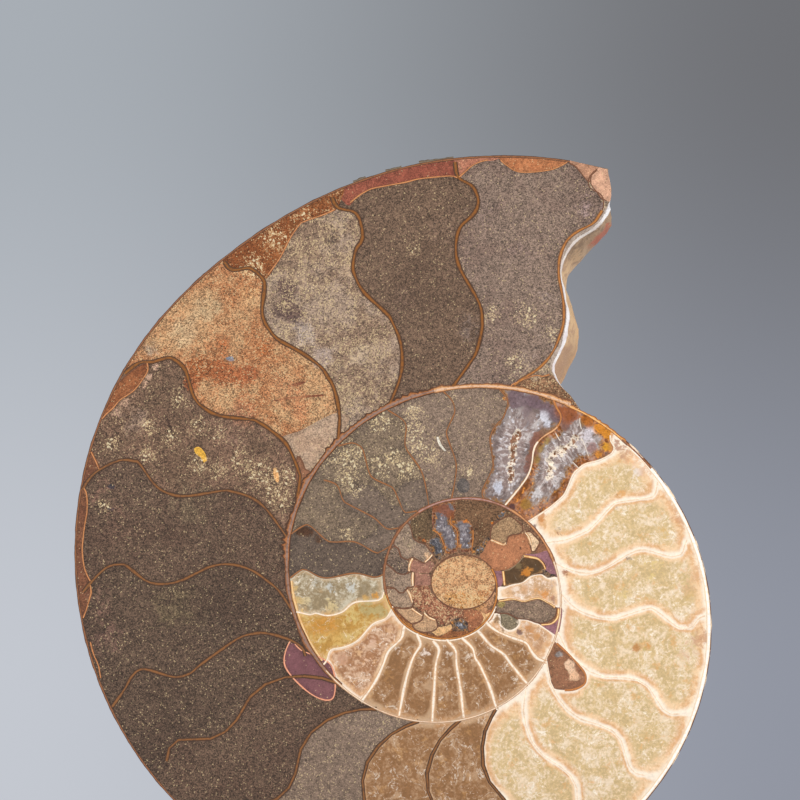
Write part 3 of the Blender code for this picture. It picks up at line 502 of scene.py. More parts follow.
# stained places, and a few of painted shade: right of and above the pole, reach, colour, how strong
stainsAndShade = (
    # rust and paler sand in the sediment
    (-64, 56, 6, (150, 88, 50), 0.9), (-57, 54, 7, (152, 90, 54), 0.8), (-51, 54, 4, (150, 88, 54), 0.8),
    (-48, 60, 4, (158, 96, 56), 0.7), (-58, 62, 4, (158, 96, 58), 0.7), (-40, 47, 9, (178, 122, 84), 0.6),
    (-52, 46, 7, (166, 108, 72), 0.6), (-66, 51, 4, (146, 84, 50), 0.7),
    (-44, 53, 5, (170, 112, 74), 0.5), (-62, 71, 8, (176, 146, 110), 0.7),
    (-68, 64, 7, (180, 148, 112), 0.7), (-51, 73, 6, (190, 150, 104), 0.5),
    (-76, 60.5, 4, (160, 134, 110), 0.8),
    # redder towards the rim, olive in the middle
    (-88, 24, 8, (126, 94, 78), 0.45), (-84, 16, 8, (120, 91, 75), 0.4), (-88, -2, 8, (120, 90, 76), 0.5),
    (-86, -12, 9, (112, 84, 72), 0.45), (-66, 22, 12, (110, 92, 72), 0.6),
    (-62, 8, 10, (92, 74, 60), 0.5), (-70, -4, 12, (98, 82, 62), 0.6), (-60, -10, 8, (84, 68, 56), 0.5),
    (-80, 42, 7, (132, 108, 92), 0.6), (-56, 40, 9, (124, 96, 80), 0.5), (-2, 90, 10, (118, 94, 78), 0.5),
    (-14, 72, 10, (104, 82, 68), 0.5), (8, 94, 8, (120, 100, 90), 0.5), (16, 84, 9, (136, 114, 104), 0.4),
    (4, 66, 8, (116, 98, 88), 0.5),
    # darker and paler places in the speckled chamber
    (-42, 75, 5, (96, 74, 68), 0.9), (-40, 69, 4.5, (100, 78, 70), 0.9), (-44, 70, 4, (98, 76, 70), 0.8),
    (-31, 88, 4.5, (108, 86, 70), 0.7), (-36, 80, 4, (120, 98, 84), 0.5),
    (-38, 64, 5, (164, 146, 134), 0.8), (-33, 58, 6, (158, 138, 126), 0.7),
    (-24, 59, 6, (166, 144, 122), 0.6), (-28, 80, 5, (164, 138, 114), 0.5),
    # lilac grey beside the last septum
    (34.5, 97, 6, (148, 124, 120), 0.4), (30, 94.5, 6, (146, 124, 118), 0.35),
    (23.5, 73, 6, (154, 136, 126), 0.35), (22.5, 64, 6, (154, 136, 124), 0.4),
    (18, 58.5, 5, (148, 128, 116), 0.45), (23.6, 57, 2.6, (160, 140, 122), 1),
    (20, 54, 3, (150, 126, 104), 1), (25, 60, 1.6, (176, 164, 154), 0.9),
    # calcite: brown and peach near the walls, and two grey slivers of painted shade
    (40.6, 36.2, 2.6, (172, 122, 98), 1), (42.2, 34.4, 2.4, (186, 140, 112), 1),
    (44.8, 33.2, 3.4, (226, 172, 124), 0.8), (48.2, 29.6, 3.2, (222, 166, 120), 0.8),
    (45.4, 29.6, 2.6, (226, 216, 208), 0.7), (42, 24.4, 1.8, (214, 156, 90), 0.9),
    (57, 18, 4, (208, 156, 114), 0.9), (54.6, 21.6, 3, (222, 174, 130), 0.7),
    (60, 4, 3.6, (216, 172, 130), 0.8), (58, 0.2, 3.4, (210, 164, 124), 0.6),
    (62, -12, 4.4, (198, 150, 114), 0.9), (58, -15.6, 3.6, (206, 160, 124), 0.6),
    (58.6, -8.6, 2.6, (226, 180, 136), 0.7), (49.6, 5.4, 4.6, (214, 186, 116), 0.6),
    (52, 14.6, 3.4, (206, 172, 108), 0.6), (42, -1, 3.6, (212, 184, 118), 0.6),
    # painted shade: the grey slivers at (39.9, 20.3) and (43.1, 7.6)
    (58.6, -1.4, 2.6, (204, 174, 106), 0.6), (39.9, 20.3, 1, (136, 120, 114), 1),
    (43.1, 7.6, 1, (150, 138, 132), 1), (45.4, -14.4, 1.9, (186, 122, 58), 1),
    (48.4, -14.2, 1.4, (206, 146, 76), 1), (47.4, -14.7, 0.9, (180, 160, 84), 1),
    (21.6, 18, 1.8, (196, 128, 66), 0.9), (30.6, 21.4, 1.3, (206, 150, 96), 0.6),
    (25.6, 14.4, 1.2, (150, 96, 66), 0.8),
    # small fillings around the centre, and the pale tops of the close chambers
    (22.8, -0.9, 2.2, (214, 138, 58), 1), (20.4, -0.4, 2, (206, 146, 84), 0.8),
    (17.4, 0.3, 2.2, (206, 156, 112), 0.8), (24.6, -2.2, 1.4, (150, 100, 76), 0.8),
    (24.4, 1.4, 1.8, (200, 170, 146), 0.8), (13.8, -0.6, 1.8, (214, 166, 116), 0.7),
    (17.6, 4.2, 1.6, (206, 128, 46), 1), (18.6, 4.8, 1.4, (212, 140, 60), 0.9),
    (20.4, 5.4, 1.3, (84, 66, 50), 0.9), (18.6, -9.6, 1.9, (190, 126, 62), 0.9),
    (16.2, -10.4, 1.3, (104, 72, 66), 1), (12, -10, 1.3, (132, 96, 64), 0.9),
    (10.4, -7.4, 1.6, (124, 94, 62), 1), (20.4, -11.6, 1.8, (200, 142, 84), 0.9),
    (23.4, -13.4, 2, (212, 160, 112), 0.8), (20.6, -14.6, 1.8, (176, 124, 80), 0.8),
    (16, -8, 1.2, (226, 206, 182), 0.8), (18, -8.2, 1, (236, 222, 204), 0.8),
    (-7.6, 12.2, 1.1, (170, 96, 46), 1), (-9, 12.8, 1.2, (104, 68, 44), 0.8),
    (2.6, 17.3, 1, (190, 110, 46), 0.9), (-11.6, 12, 3, (146, 128, 102), 0.7),
    (-7, 8.6, 1.6, (206, 168, 132), 0.9), (11.6, -3.6, 1.6, (158, 136, 84), 0.9),
    (16.2, 10.4, 0.6, (84, 56, 44), 1), (11.9, 10.2, 0.5, (104, 66, 50), 1),
    (9.4, 16.9, 0.8, (200, 110, 34), 1), (-13.8, -14.8, 2, (232, 214, 198), 0.7),
    (-7.4, -16, 2, (232, 214, 200), 0.7), (-1.6, -16.4, 2, (232, 216, 200), 0.7),
    (4, -16.6, 1.8, (232, 214, 196), 0.6), (9.4, -14.6, 1.8, (226, 204, 184), 0.6),
    (27.6, 4.2, 1.4, (160, 104, 78), 0.8), (27.6, -2.8, 1.2, (168, 112, 86), 0.8),
    (27.4, -5.4, 1.2, (120, 74, 66), 0.7),
    # pale fringe inside the rim's lens
    (-75, 56, 1.9, (176, 142, 120), 0.8), (-76.4, 53.4, 1.9, (172, 138, 116), 0.8),
    (-78.2, 51.2, 1.9, (174, 138, 114), 0.8), (-80.4, 49, 1.9, (176, 138, 112), 0.8),
    (-82.6, 46.8, 1.9, (174, 138, 114), 0.8), (-84.8, 44.6, 1.9, (166, 132, 110), 0.7),
    # shade under the smooth chamber's wall, beside the coil wall
    (-38.8, 14.6, 2.3, (80, 54, 36), 1), (-36.4, 14.4, 2.2, (84, 56, 38), 1),
    (-34.2, 12.6, 1.8, (88, 60, 42), 1),
    # the lower edge of the disc, the brown wedge and more of the small fillings
    (2.2, -2.8, 3.4, (178, 120, 62), 1.4), (5.4, -3, 3, (184, 132, 80), 1.2),
    (-1, -2, 2.8, (188, 138, 86), 1), (26, -16, 1.4, (150, 138, 132), 1.2),
    (28.8, -18.8, 2.2, (226, 188, 156), 1.4), (29.8, -21.6, 2, (216, 172, 136), 1.2),
    (8.8, -2.8, 2, (182, 134, 98), 1), (7.2, -4.6, 1.9, (182, 132, 94), 1),
    (9.4, -1, 1.4, (184, 136, 98), 0.9), (16, 5.8, 1.6, (124, 102, 70), 0.9),
    (14.2, 20.8, 1.3, (76, 48, 50), 1), (20, 15.9, 1.2, (104, 60, 50), 1),
    # golden and smoky calcite
    (-22, -4.4, 3.4, (178, 162, 112), 0.9), (-18.6, -5.6, 2.6, (176, 160, 112), 0.9),
    (-25.6, -7, 3, (206, 180, 114), 0.8), (-31.8, -8.2, 4.2, (196, 134, 52), 0.9),
    (-29.4, -12.2, 2.6, (208, 166, 92), 0.7), (-35.4, -9.6, 3, (190, 130, 50), 0.7),
    (-40, 0.6, 1.7, (204, 170, 110), 0.9), (-39.4, -2.6, 1.9, (208, 172, 108), 1),
    (-38.4, -5.6, 1.7, (214, 176, 112), 1), (-36.8, -9, 1.4, (216, 174, 104), 0.9),
    (-35.2, -12.6, 1.4, (210, 160, 84), 0.9), (-19.8, -1.4, 1.6, (208, 142, 48), 1),
    (-22.4, -2, 1.4, (206, 156, 84), 0.8), (-31, -4.2, 3, (206, 182, 132), 0.8),
    (-26, 0.6, 2.2, (196, 194, 186), 0.8), (-30.8, 0.8, 2.2, (192, 190, 182), 0.8),
    (-35, 2.2, 2.4, (190, 184, 170), 0.7), (-22.4, 0.6, 2.2, (150, 134, 108), 0.7),
    (-37.4, -2.6, 2.2, (206, 184, 140), 0.7), (-20.4, -12.6, 2, (206, 166, 140), 0.8),
    (-16.4, -9.4, 1.8, (200, 158, 126), 0.7), (-24.6, -15.6, 2.2, (214, 170, 126), 0.8),
    (-28, -17.4, 2.4, (190, 142, 112), 0.8), (-21.4, -18, 2.4, (222, 182, 150), 0.7),
    # druses: plum, rust, amber and frost
    (15.2, 47.7, 3.4, (110, 88, 92), 1), (19.8, 47, 3.4, (108, 86, 92), 1),
    (23.4, 45.2, 3, (112, 88, 92), 0.9), (18, 44, 2.6, (124, 106, 106), 0.7),
    (25.4, 43, 2.2, (108, 86, 90), 0.9), (22.2, 43.6, 1.8, (214, 212, 220), 1),
    (23.1, 41.6, 1.5, (200, 198, 206), 0.9), (18, 41.2, 2, (130, 118, 118), 0.6),
    (12.6, 47.9, 0.8, (216, 134, 36), 1), (22.4, 39.6, 1.9, (130, 96, 72), 0.9),
    (20.8, 38.4, 1.9, (128, 82, 64), 0.9), (20, 36.8, 1.9, (124, 78, 62), 0.9),
    (19.6, 35.2, 1.9, (124, 80, 66), 0.9), (19.1, 33.8, 1.9, (124, 78, 62), 0.9),
    (18.7, 32.2, 1.9, (126, 84, 68), 0.8), (18, 30.2, 1.9, (124, 84, 72), 0.7),
    (10.9, 25.5, 2.4, (190, 190, 200), 0.8), (9.6, 41, 1.4, (150, 112, 84), 0.8),
    (28.4, 43.6, 3, (140, 74, 34), 1), (26.2, 44.4, 2, (146, 78, 36), 1),
    (27.7, 40.6, 1.9, (122, 86, 76), 0.8), (33, 42.4, 2.6, (168, 96, 30), 1),
    (36.4, 40.4, 2.4, (204, 128, 32), 1), (38.4, 38.8, 2, (208, 134, 36), 1),
    (37.8, 35.8, 1.8, (206, 144, 40), 0.9), (35.9, 33.8, 1.6, (196, 126, 44), 0.9),
    (33.2, 38.8, 2.4, (204, 194, 198), 0.8), (34.2, 35.6, 1.9, (144, 110, 104), 0.7),
    (21.4, 35.4, 1.6, (150, 118, 62), 0.8), (20.6, 32.6, 1.6, (150, 116, 60), 0.8),
    (23, 37.2, 1.6, (150, 122, 70), 0.7), (20.6, 24, 2.2, (196, 188, 186), 0.8),
    (17.6, 21.4, 2.2, (150, 108, 44), 0.9), (-2.6, 20, 2.4, (128, 72, 44), 1),
    (-0.9, 18.6, 1.8, (136, 78, 46), 1), (-4.8, 20.4, 1.6, (134, 80, 50), 1),
)
# where pale grains crowd together: right of and above the pole, and reach
sprinkles = (
    (-30.2, 32.9, 5.5), (-26.3, 33.6, 5.5), (-27, 29.3, 5), (-24.8, 25.4, 3.6), (-19.1, 42.1, 4.4),
    (-15.9, 32.9, 4.4), (-19.1, 30.7, 4.4), (-12.3, 30.4, 4.4), (-10.5, 44.3, 3.6), (-10.2, 39.6, 4.6),
    (-9.8, 35.7, 4), (-5.9, 33.6, 3.4), (-27, 13.9, 3), (17.8, 68.5, 4.4), (24.2, 64, 3), (9.2, 69, 3),
    (15.2, 56.5, 4), (-10.2, 85, 2.4), (-45, 27, 5), (-43.8, 22.9, 5), (-41.5, 28.6, 4),
    (-48.8, 28.8, 5.5), (-53.5, 32, 4.5), (3.2, 29.8, 2.4), (-58.8, 39, 3), (-76.5, 40.8, 3.4),
    (-71, 38, 3.4), (-64.3, 40.8, 3.4), (-63.8, 31.4, 3.6), (-59, 30, 3.4), (-85.4, 36.4, 3.2),
    (-77, 33.8, 3.4), (-68.8, 47, 3.2), (-88, 21, 2.6), (-50, 80.5, 4.5), (-45, 88.5, 4.5), (-38, 94, 4),
)

# The sawn face: one flat mesh, cut along every line, then sorted into fillings
faceMesh = {
    "gap": 1.1,         # between points, and below it in the places with fine detail
    "fineGap": 0.6,
    "fine": ((0, 0, 28), (22, 34, 17), (45, -14, 5)),    # right of the pole, above it, and reach
    "lineGap": 0.75,    # between points on a line
    "clear": 0.45,      # share of the gap kept free beside a line
    "jitter": 0.2,      # share of the gap by which points stray
    "overshoot": 2,     # mm that a septum runs past its two walls, so that it surely meets them
    "weld": 1e-4,
}


def overshot(line):
    reach = faceMesh["overshoot"]
    first, last = line[0], line[-1]
    return np.vstack([first * (1 + reach / np.hypot(*first)), line, last * (1 - reach / np.hypot(*last))])


def inside(points, outline):
    x, z = points[:, 0], points[:, 1]
    found = np.zeros(len(points), bool)
    for (x0, z0), (x1, z1) in zip(outline, np.roll(outline, -1, axis=0)):
        crosses = (z0 > z) != (z1 > z)
        if z0 != z1:
            found ^= crosses & (x < (x1 - x0) * (z - z0) / (z1 - z0) + x0)
    return found


def nearest(lines):
    # a lookup of the closest point on any of these lines
    samples = np.vstack([densely(line) for line in lines])
    tree = KDTree(len(samples))
    for i, (x, z) in enumerate(samples):
        tree.insert((x, z, 0), i)
    tree.balance()
    return tree


def densely(line, gap=0.25):
    found = []
    for a, b in zip(line, line[1:]):
        steps = max(int(np.linalg.norm(b - a) / gap), 1)
        found.append(a + (b - a) * (np.arange(steps) / steps)[:, None])
    return np.vstack([*found, [line[-1]]])


def distances(tree, points):
    return np.array([tree.find((x, z, 0))[2] for x, z in points])


def ellipse(centre, radii, steps):
    angle = np.linspace(0, 2 * np.pi, steps, endpoint=False)
    return np.stack([centre[0] + radii[0] * np.cos(angle), centre[1] + radii[1] * np.sin(angle)], axis=1)


lineGap = faceMesh["lineGap"]
outline = np.vstack([rimCurve, smoothLine(coil["breakEdge"], lineGap)])
innerWall = spiral(coil["innermost"], coil["firstGrowth"], coil["rimStep"])
closeInwards = [line[::-1] for line in closeSepta]
septa = [smoothLine(line, lineGap)
         for line in (*outerSepta, *innerSepta, *paleSepta, *closeInwards, *lowSepta, lastSeptum)]
loops = [(name, edging, smoothLine(loop, lineGap, closed=True))
         for name, edging, loop in (*patches, *centrePatches)]
loops.append(("disc", "fineEdge", ellipse(disc["centre"], disc["radii"], disc["steps"])))


def cutFace():
    # the points and triangles of the face, and the edges that part one chamber from another
    points, edges = [], []

    def add(line, closed=False):
        start, count = len(points), len(line)
        points.extend(line)
        edges.extend((start + i, start + (i + 1) % count) for i in range(count if closed else count - 1))

    add(outline, closed=True)
    for line in [*map(overshot, septa), innerWall]:
        add(line)
    barriers = len(edges)    # what follows lies inside the chambers
    for _, _, loop in loops:
        add(loop, closed=True)
    tree = nearest([np.array(points)[list(edge)] for edge in edges])
    low, high = outline.min(0), outline.max(0)
    fills = []
    for spacing, near in ((faceMesh["gap"], False), (faceMesh["fineGap"], True)):
        rows = np.arange(low[1], high[1], spacing * 0.87)    # rows of even triangles
        grid = np.array([(x + (k % 2) * spacing / 2, z) for k, z in enumerate(rows)
                         for x in np.arange(low[0], high[0], spacing)])
        grid = grid + dice.uniform(-faceMesh["jitter"], faceMesh["jitter"], grid.shape) * spacing
        small = np.zeros(len(grid), bool)
        for x, z, reach in faceMesh["fine"]:
            small |= np.hypot(grid[:, 0] - x, grid[:, 1] - z) < reach
        grid = grid[(small == near) & inside(grid, outline)]
        fills.append(grid[distances(tree, grid) > spacing * faceMesh["clear"]])
    points.extend(np.vstack(fills))
    verts, cuts, faces, _, origins, _ = delaunay_2d_cdt(
        [Vector(p) for p in points], edges, [], 1, faceMesh["weld"])
    walled = {tuple(sorted(cut)) for cut, origin in zip(cuts, origins) if any(e < barriers for e in origin)}
    points = np.array([v[:] for v in verts])
    faces = np.array([f for f in faces if len(f) == 3])
    return points, faces[inside(points[faces].mean(1), outline)], walled


def chamberOf(faces, walled):
    # the number of the chamber that each face lies in, and how many chambers there are
    across = {}
    for i, face in enumerate(faces):
        for a, b in zip(face, np.roll(face, -1)):
            across.setdefault((min(a, b), max(a, b)), []).append(i)
    joined = [[] for _ in faces]
    for edge, pair in across.items():
        if len(pair) == 2 and edge not in walled:
            joined[pair[0]].append(pair[1])
            joined[pair[1]].append(pair[0])
    chamber = np.full(len(faces), -1)
    count = 0
    for start in range(len(faces)):
        if chamber[start] < 0:
            chamber[start] = count
            stack = [start]
            while stack:
                for other in joined[stack.pop()]:
                    if chamber[other] < 0:
                        chamber[other] = count
                        stack.append(other)
            count += 1
    return chamber, count


def fillings(points, faces, walled):
    # the name of what fills each face. A chamber that has none takes the nearest one's, and later loops win
    chamber, count = chamberOf(faces, walled)
    corners = points[faces]
    centres = corners.mean(1)
    sides = np.roll(corners, -1, axis=1) - corners
    names = np.full(count, "", dtype=object)
    for name, x, z in allChambers():
        turned = sides[:, :, 0] * (z - corners[:, :, 1]) - sides[:, :, 1] * (x - corners[:, :, 0])
        hit = np.where(np.all(turned >= 0, 1) | np.all(turned <= 0, 1))[0]
        if len(hit):
            names[chamber[hit[0]]] = name
    found = names[chamber]
    known = np.array([bool(name) for name in found])
    tree = KDTree(int(known.sum()))
    for i in np.where(known)[0]:
        tree.insert((*centres[i], 0), int(i))
    tree.balance()
    for i in np.where(~known)[0]:
        found[i] = found[tree.find((*centres[i], 0))[1]]
    for name, _, loop in loops:
        found[inside(centres, loop)] = name
    return found


def allChambers():
    low = []
    for a, b, name in zip(swing["growths"], swing["growths"][1:], swing["fillings"]):
        middle = (a + b) / 2
        low.append((name, *polar((venter(middle) + venter(middle - turn)) / 2, middle)))
    return [*chambers, *low]


# Materials
def tone(r, g, b):
    # a colour as seen, 0 to 255, in the linear values that sockets take
    linear = [c / 3294.6 if c <= 10.3 else ((c / 255 + 0.055) / 1.055) ** 2.4 for c in (r, g, b)]
    return (*linear, 1)


class Wire:
    # a socket of a material's nodes. Sums on values add Math nodes
    def __init__(self, tree, socket=None):
        self.tree = tree
        self.socket = socket

    def add(self, kind, settings=None, values=None, out=0):
        node = self.tree.nodes.new(kind)
        for name, value in (settings or {}).items():
            setattr(node, name, value)
        for name, value in (values or {}).items():
            if isinstance(value, Wire):
                self.tree.links.new(value.socket, node.inputs[name])
            else:
                node.inputs[name].default_value = value
        return Wire(self.tree, node.outputs[out])

    def math(self, operation, *others):
        return self.add("ShaderNodeMath", {"operation": operation}, dict(enumerate((self, *others))))

    def __add__(self, other):
        return self.math("ADD", other)

    __radd__ = __add__

    def __mul__(self, other):
        return self.math("MULTIPLY", other)

    __rmul__ = __mul__

    def __sub__(self, other):
        return self.math("SUBTRACT", other)

    def __rsub__(self, other):
        return self.add("ShaderNodeMath", {"operation": "SUBTRACT"}, {0: other, 1: self})

    def __truediv__(self, other):
        return self.math("DIVIDE", other)

    def __gt__(self, other):
        return self.math("GREATER_THAN", other)

    def __abs__(self):
        return self.math("ABSOLUTE")

    def least(self, other):
        return self.math("MINIMUM", other)

    def most(self, other):
        return self.math("MAXIMUM", other)

    def ease(self, low, high, start=0.0, end=1.0):
        # from start to end as this value goes from low to high, held outside
        return self.add("ShaderNodeMapRange", {"interpolation_type": "SMOOTHSTEP"},
                        {0: self, 1: low, 2: high, 3: start, 4: end})

    def blend(self, first, second, how="MIX"):
        # first where this value is 0, second where it is 1
        return self.add("ShaderNodeMix", {"data_type": "RGBA", "blend_type": how},
                        {0: self, 6: first, 7: second}, 2)

    def read(self, name, out="Color"):
        return self.add("ShaderNodeAttribute", {"attribute_name": name}, {}, out)

    def scaled(self, amount):
        return self.add("ShaderNodeVectorMath", {"operation": "SCALE"}, {0: self, "Scale": amount})

    def mapped(self, scale, turned=(0, 0, 0)):
        # stretched along the grain by a scale below 1
        return self.add("ShaderNodeMapping", {}, {"Vector": self, "Scale": scale, "Rotation": turned})

    def parts(self):
        whole = self.add("ShaderNodeSeparateXYZ", {}, {0: self})
        return [Wire(self.tree, whole.socket.node.outputs[i]) for i in range(3)]

    def noise(self, size, detail=3.0, rough=0.55, twist=0.0, kind="FBM"):
        # soft noise on this position, whose waves are about this many mm long
        return self.add("ShaderNodeTexNoise", {"noise_type": kind}, {"Vector": self, "Scale": 1 / size,
                        "Detail": detail, "Roughness": rough, "Distortion": twist})

    def cells(self, size, out="Color"):
        # grains of about this many mm, each with its own random numbers
        return self.add("ShaderNodeTexVoronoi", {}, {"Vector": self, "Scale": 1 / size}, out)


def material(name):
    # a new material, and the place on the piece in mm
    made = bpy.data.materials.new(name)
    made.use_nodes = True
    return made, Wire(made.node_tree).add("ShaderNodeTexCoord", {}, {}, "Object").scaled(1 / mm)


def shade(made, colour, roughness, height=None, bump=0, specular=0.5):
    # feeds the material's shader. Height is in mm
    shader = made.node_tree.nodes["Principled BSDF"]
    links = made.node_tree.links
    for name, value in (("Base Color", colour), ("Roughness", roughness), ("Specular IOR Level", specular)):
        if isinstance(value, Wire):
            links.new(value.socket, shader.inputs[name])
        else:
            shader.inputs[name].default_value = value
    if height is not None:
        bumped = height.add("ShaderNodeBump", {}, {"Height": height, "Strength": bump, "Distance": mm})
        links.new(bumped.socket, shader.inputs["Normal"])
    return made


def sedimentMaterial():
    made, place = material("sawn_sediment")
    specks, grit, patchy = place.read("look", "Vector").parts()
    tint, accent, stainAndShade = (place.read(name) for name in ("tint", "accent", "stainAndShade"))
    stainAndShadeAmount = place.read("stainAndShade", "Alpha")
    glitter = place.read("glitter", "Fac")
    broad = place.noise(14, 3)
    cloud = place.noise(4, 4, 0.6)
    mottle = place.noise(1.5, 3, 0.65)
    fine = place.noise(0.62, 3, 0.8)
    where = (broad * 0.55 + cloud * 0.45).ease(0.44, 0.58)
    colour = (where * patchy * 1.3).least(1.0).blend(tint, accent)
    ragged = stainAndShadeAmount + (cloud - 0.5) * 1.0 + (mottle - 0.5) * 0.9 + (fine - 0.5) * 0.5
    colour = ragged.ease(0.34, 0.8).blend(colour, stainAndShade)
    grain = place.cells(0.24).parts()
    bits = (grain[0] - 0.5) * grit * 1.7 + (fine - 0.5) * grit * 1.4
    # painted shade: the sediment darkens by up to a sixth within about a mm of septa, walls and filling
    # edges
    beside = (place.read("edge", "Fac") + (mottle - 0.5) * 1.0).ease(0.2, 1.3, -0.16, 0.0)
    colour = colour.scaled((1.01 + beside + bits + (mottle - 0.5) * 0.8 + (cloud - 0.5) * 0.3).most(0.35))
    # pale and golden grains, closer together in some places
    drift = (place.noise(6, 4, 0.6) + (mottle - 0.5) * 0.6).ease(0.42, 0.6, 0.15, 1.0)
    crowd = 0.02 + specks * drift * 0.4 + glitter * (0.3 + (mottle - 0.5) * 1.6)
    bright = grain[1].blend(tint.scaled(1.5), tone(224, 198, 150))
    strong = 0.2 + grain[1] * 0.4 + glitter * 0.3 + specks * 0.1
    colour = ((grain[2] > 1.0 - crowd) * strong).blend(colour, bright)
    larger = place.cells(0.45).parts()
    colour = ((larger[0] > 1.07 - glitter * 0.16) * 0.8).blend(colour, tone(222, 204, 166))
    # dark grains and a few pits
    gloomy = (larger[1] > 0.98 - grit * 0.05) * 0.4
    colour = (gloomy * 1.5).blend(colour, tint.scaled(0.4))
    seeds = place.cells(3.6).parts()
    pit = (seeds[0] * 0.15 - 0.05 - place.cells(3.6, "Distance")).ease(0.0, 0.02)
    colour = (pit * 0.75).blend(colour, tone(52, 40, 36))
    rough = 0.34 + (fine - 0.5) * 0.2 + pit * 0.3
    return shade(made, colour, rough, fine * 0.03 - pit * 0.15, 0.4, 0.35)


def calciteMaterial():
    made, place = material("sawn_calcite")
    width, milk, peach = place.read("look", "Vector").parts()
    tint, accent, stainAndShade = (place.read(name) for name in ("tint", "accent", "stainAndShade"))
    stainAndShadeAmount = place.read("stainAndShade", "Alpha")
    away = place.read("edge", "Fac")
    slow = place.noise(6, 4, 0.6, 0.6)
    veil = place.noise(2.6, 6, 0.65, 1.4)
    crackle = place.noise(4.2, 4, 0.55, 0.8)
    cloudy = place.noise(1.1, 4, 0.7, 0.5)
    fine = place.noise(0.6, 3, 0.7)
    # clear crystal with milky clouds and a few thin pale cracks through it
    deep = (slow - 0.5) * 0.9 + (cloudy - 0.5) * 0.8 + (fine - 0.5) * 0.5
    colour = deep.ease(-0.2, 0.02).blend(tint.scaled(0.86), tint)
    milky = (veil - 0.5) * 1.1 + (cloudy - 0.5) * 0.4 + (slow - 0.5) * 0.9 + (fine - 0.5) * 0.5
    colour = (milky + (milk - 0.5) * 0.3).ease(-0.12, 0.24).blend(colour, accent)
    vein = abs(crackle - 0.5).ease(0.016, 0.003) * (slow + (fine - 0.5) * 0.7).ease(0.44, 0.58) * milk * 1.4
    colour = vein.least(0.75).blend(colour, tone(250, 240, 224))
    amber = (place.noise(3.4, 4, 0.65) + (fine - 0.5) * 0.3).ease(0.55, 0.69) * peach
    colour = (amber * 0.6).blend(colour, tone(214, 160, 94))
    # the walls are lined with cream, then peach
    near = away / width.most(0.05)
    uneven = (slow - 0.5) * 2.6 + (veil - 0.5) * 1.2 + (fine - 0.5) * 0.3
    warm = (near + uneven).ease(2.6, 1.2) * peach
    lining = (slow + (cloudy - 0.5) * 0.4).ease(0.42, 0.58).blend(tone(244, 208, 168), tone(220, 164, 112))
    colour = (warm * 0.85).blend(colour, lining)
    cream = peach.ease(0.3, 1.0).blend(accent.scaled(1.04), tone(250, 236, 217))
    band = (near + uneven * 0.6).ease(1.3, 0.4) * (milk > 0.25)
    colour = (band * 0.9).blend(colour, cream)
    colour = colour.scaled(1.0 + (fine - 0.5) * 0.45)
    spotty = (stainAndShadeAmount + (veil - 0.5) * 2.6 + (cloudy - 0.5) * 2.0 + (fine - 0.5) * 1.2).ease(0.3, 0.95)
    colour = (spotty * 0.8 * stainAndShadeAmount.ease(0.0, 0.2)).blend(colour, stainAndShade.scaled(0.7 + fine * 0.6))
    height = veil * 0.05 + fine * 0.02
    return shade(made, colour, 0.24 + (fine - 0.5) * 0.12, height, 0.35, 0.4)


def druseMaterial():
    made, place = material("sawn_druse")
    tint, accent, tips, stainAndShade = (place.read(name) for name in ("tint", "accent", "tips", "stainAndShade"))
    border, holes, frost = place.read("look", "Vector").parts()
    stainAndShadeAmount = place.read("stainAndShade", "Alpha")
    depth = place.read("edge", "Fac")      # 0 at the wall, 1 in the hollow
    rays = place.read("rays", "Vector")
    fine = place.noise(0.6, 4, 0.7)
    streak = rays.noise(0.7, 4, 0.65)
    thread = rays.noise(0.34, 2, 0.6)
    slow = place.noise(2.6, 4, 0.6)
    t = depth + (fine - 0.5) * 0.4 + (streak - 0.5) * 0.7 + (slow - 0.5) * 0.5
    # rusty against the wall, then olive gold, then grey crystals with frosty streaks
    rusty = (fine + (slow - 0.5) * 0.8 + (streak - 0.5) * 0.8).ease(0.36, 0.64)
    colour = rusty.blend(tint.scaled(0.55), tint.scaled(1.15))
    colour = ((t - border).ease(-0.1, -0.02) * 0.7).blend(colour, tone(158, 114, 56))
    body = (t - border + (slow - 0.5) * 0.8).ease(0.1, 0.5).blend(accent.scaled(0.62), accent)
    colour = ((t - border).ease(-0.06, 0.1)).blend(colour, body)
    inner = (t - border).ease(-0.02, 0.18)
    shine = streak.ease(0.47, 0.6) * 0.7 + thread.ease(0.5, 0.6) * 0.4 + (slow - 0.5) * 1.2
    shine = shine * frost * t.ease(0.2, 0.9, 0.3, 1.3)
    colour = shine.most(0.0).least(0.9).blend(colour, tone(212, 202, 198))
    crystal = place.cells(0.6).parts()
    glint = (crystal[2] > 0.8) * (1.0 - inner) * fine.ease(0.42, 0.6)
    colour = (glint * 0.6).blend(colour, tone(220, 140, 52))
    sparkle = (crystal[1] > 0.9) * inner * streak.ease(0.4, 0.6)
    colour = (sparkle * 0.6).blend(colour, tone(222, 220, 226))
    crest = (depth + (streak - 0.5) * 0.4 + (slow - 0.5) * 0.3 + (crystal[0] - 0.5) * 0.2).ease(0.87, 0.93)
    colour = (crest * 0.9).blend(colour, tips)
    block = place.cells(0.75).parts()
    hole = (depth + (streak - 0.5) * 0.3 + (block[1] - 0.9 + holes * 0.4) * 0.3).ease(0.98, 1.0)
    colour = (hole * 0.9).blend(colour, tone(134, 84, 48))
    spotty = (stainAndShadeAmount + (slow - 0.5) * 1.0 + (fine - 0.5) * 1.2 + (streak - 0.5) * 2.2).ease(0.3, 0.75)
    colour = (spotty * 0.9).blend(colour, stainAndShade.scaled(0.75 + fine * 0.5))
    colour = colour.scaled(1.0 + (fine - 0.5) * 1.3)
    return shade(made, colour, 0.22 + fine * 0.15, streak * 0.12 + fine * 0.08, 0.6, 0.4)


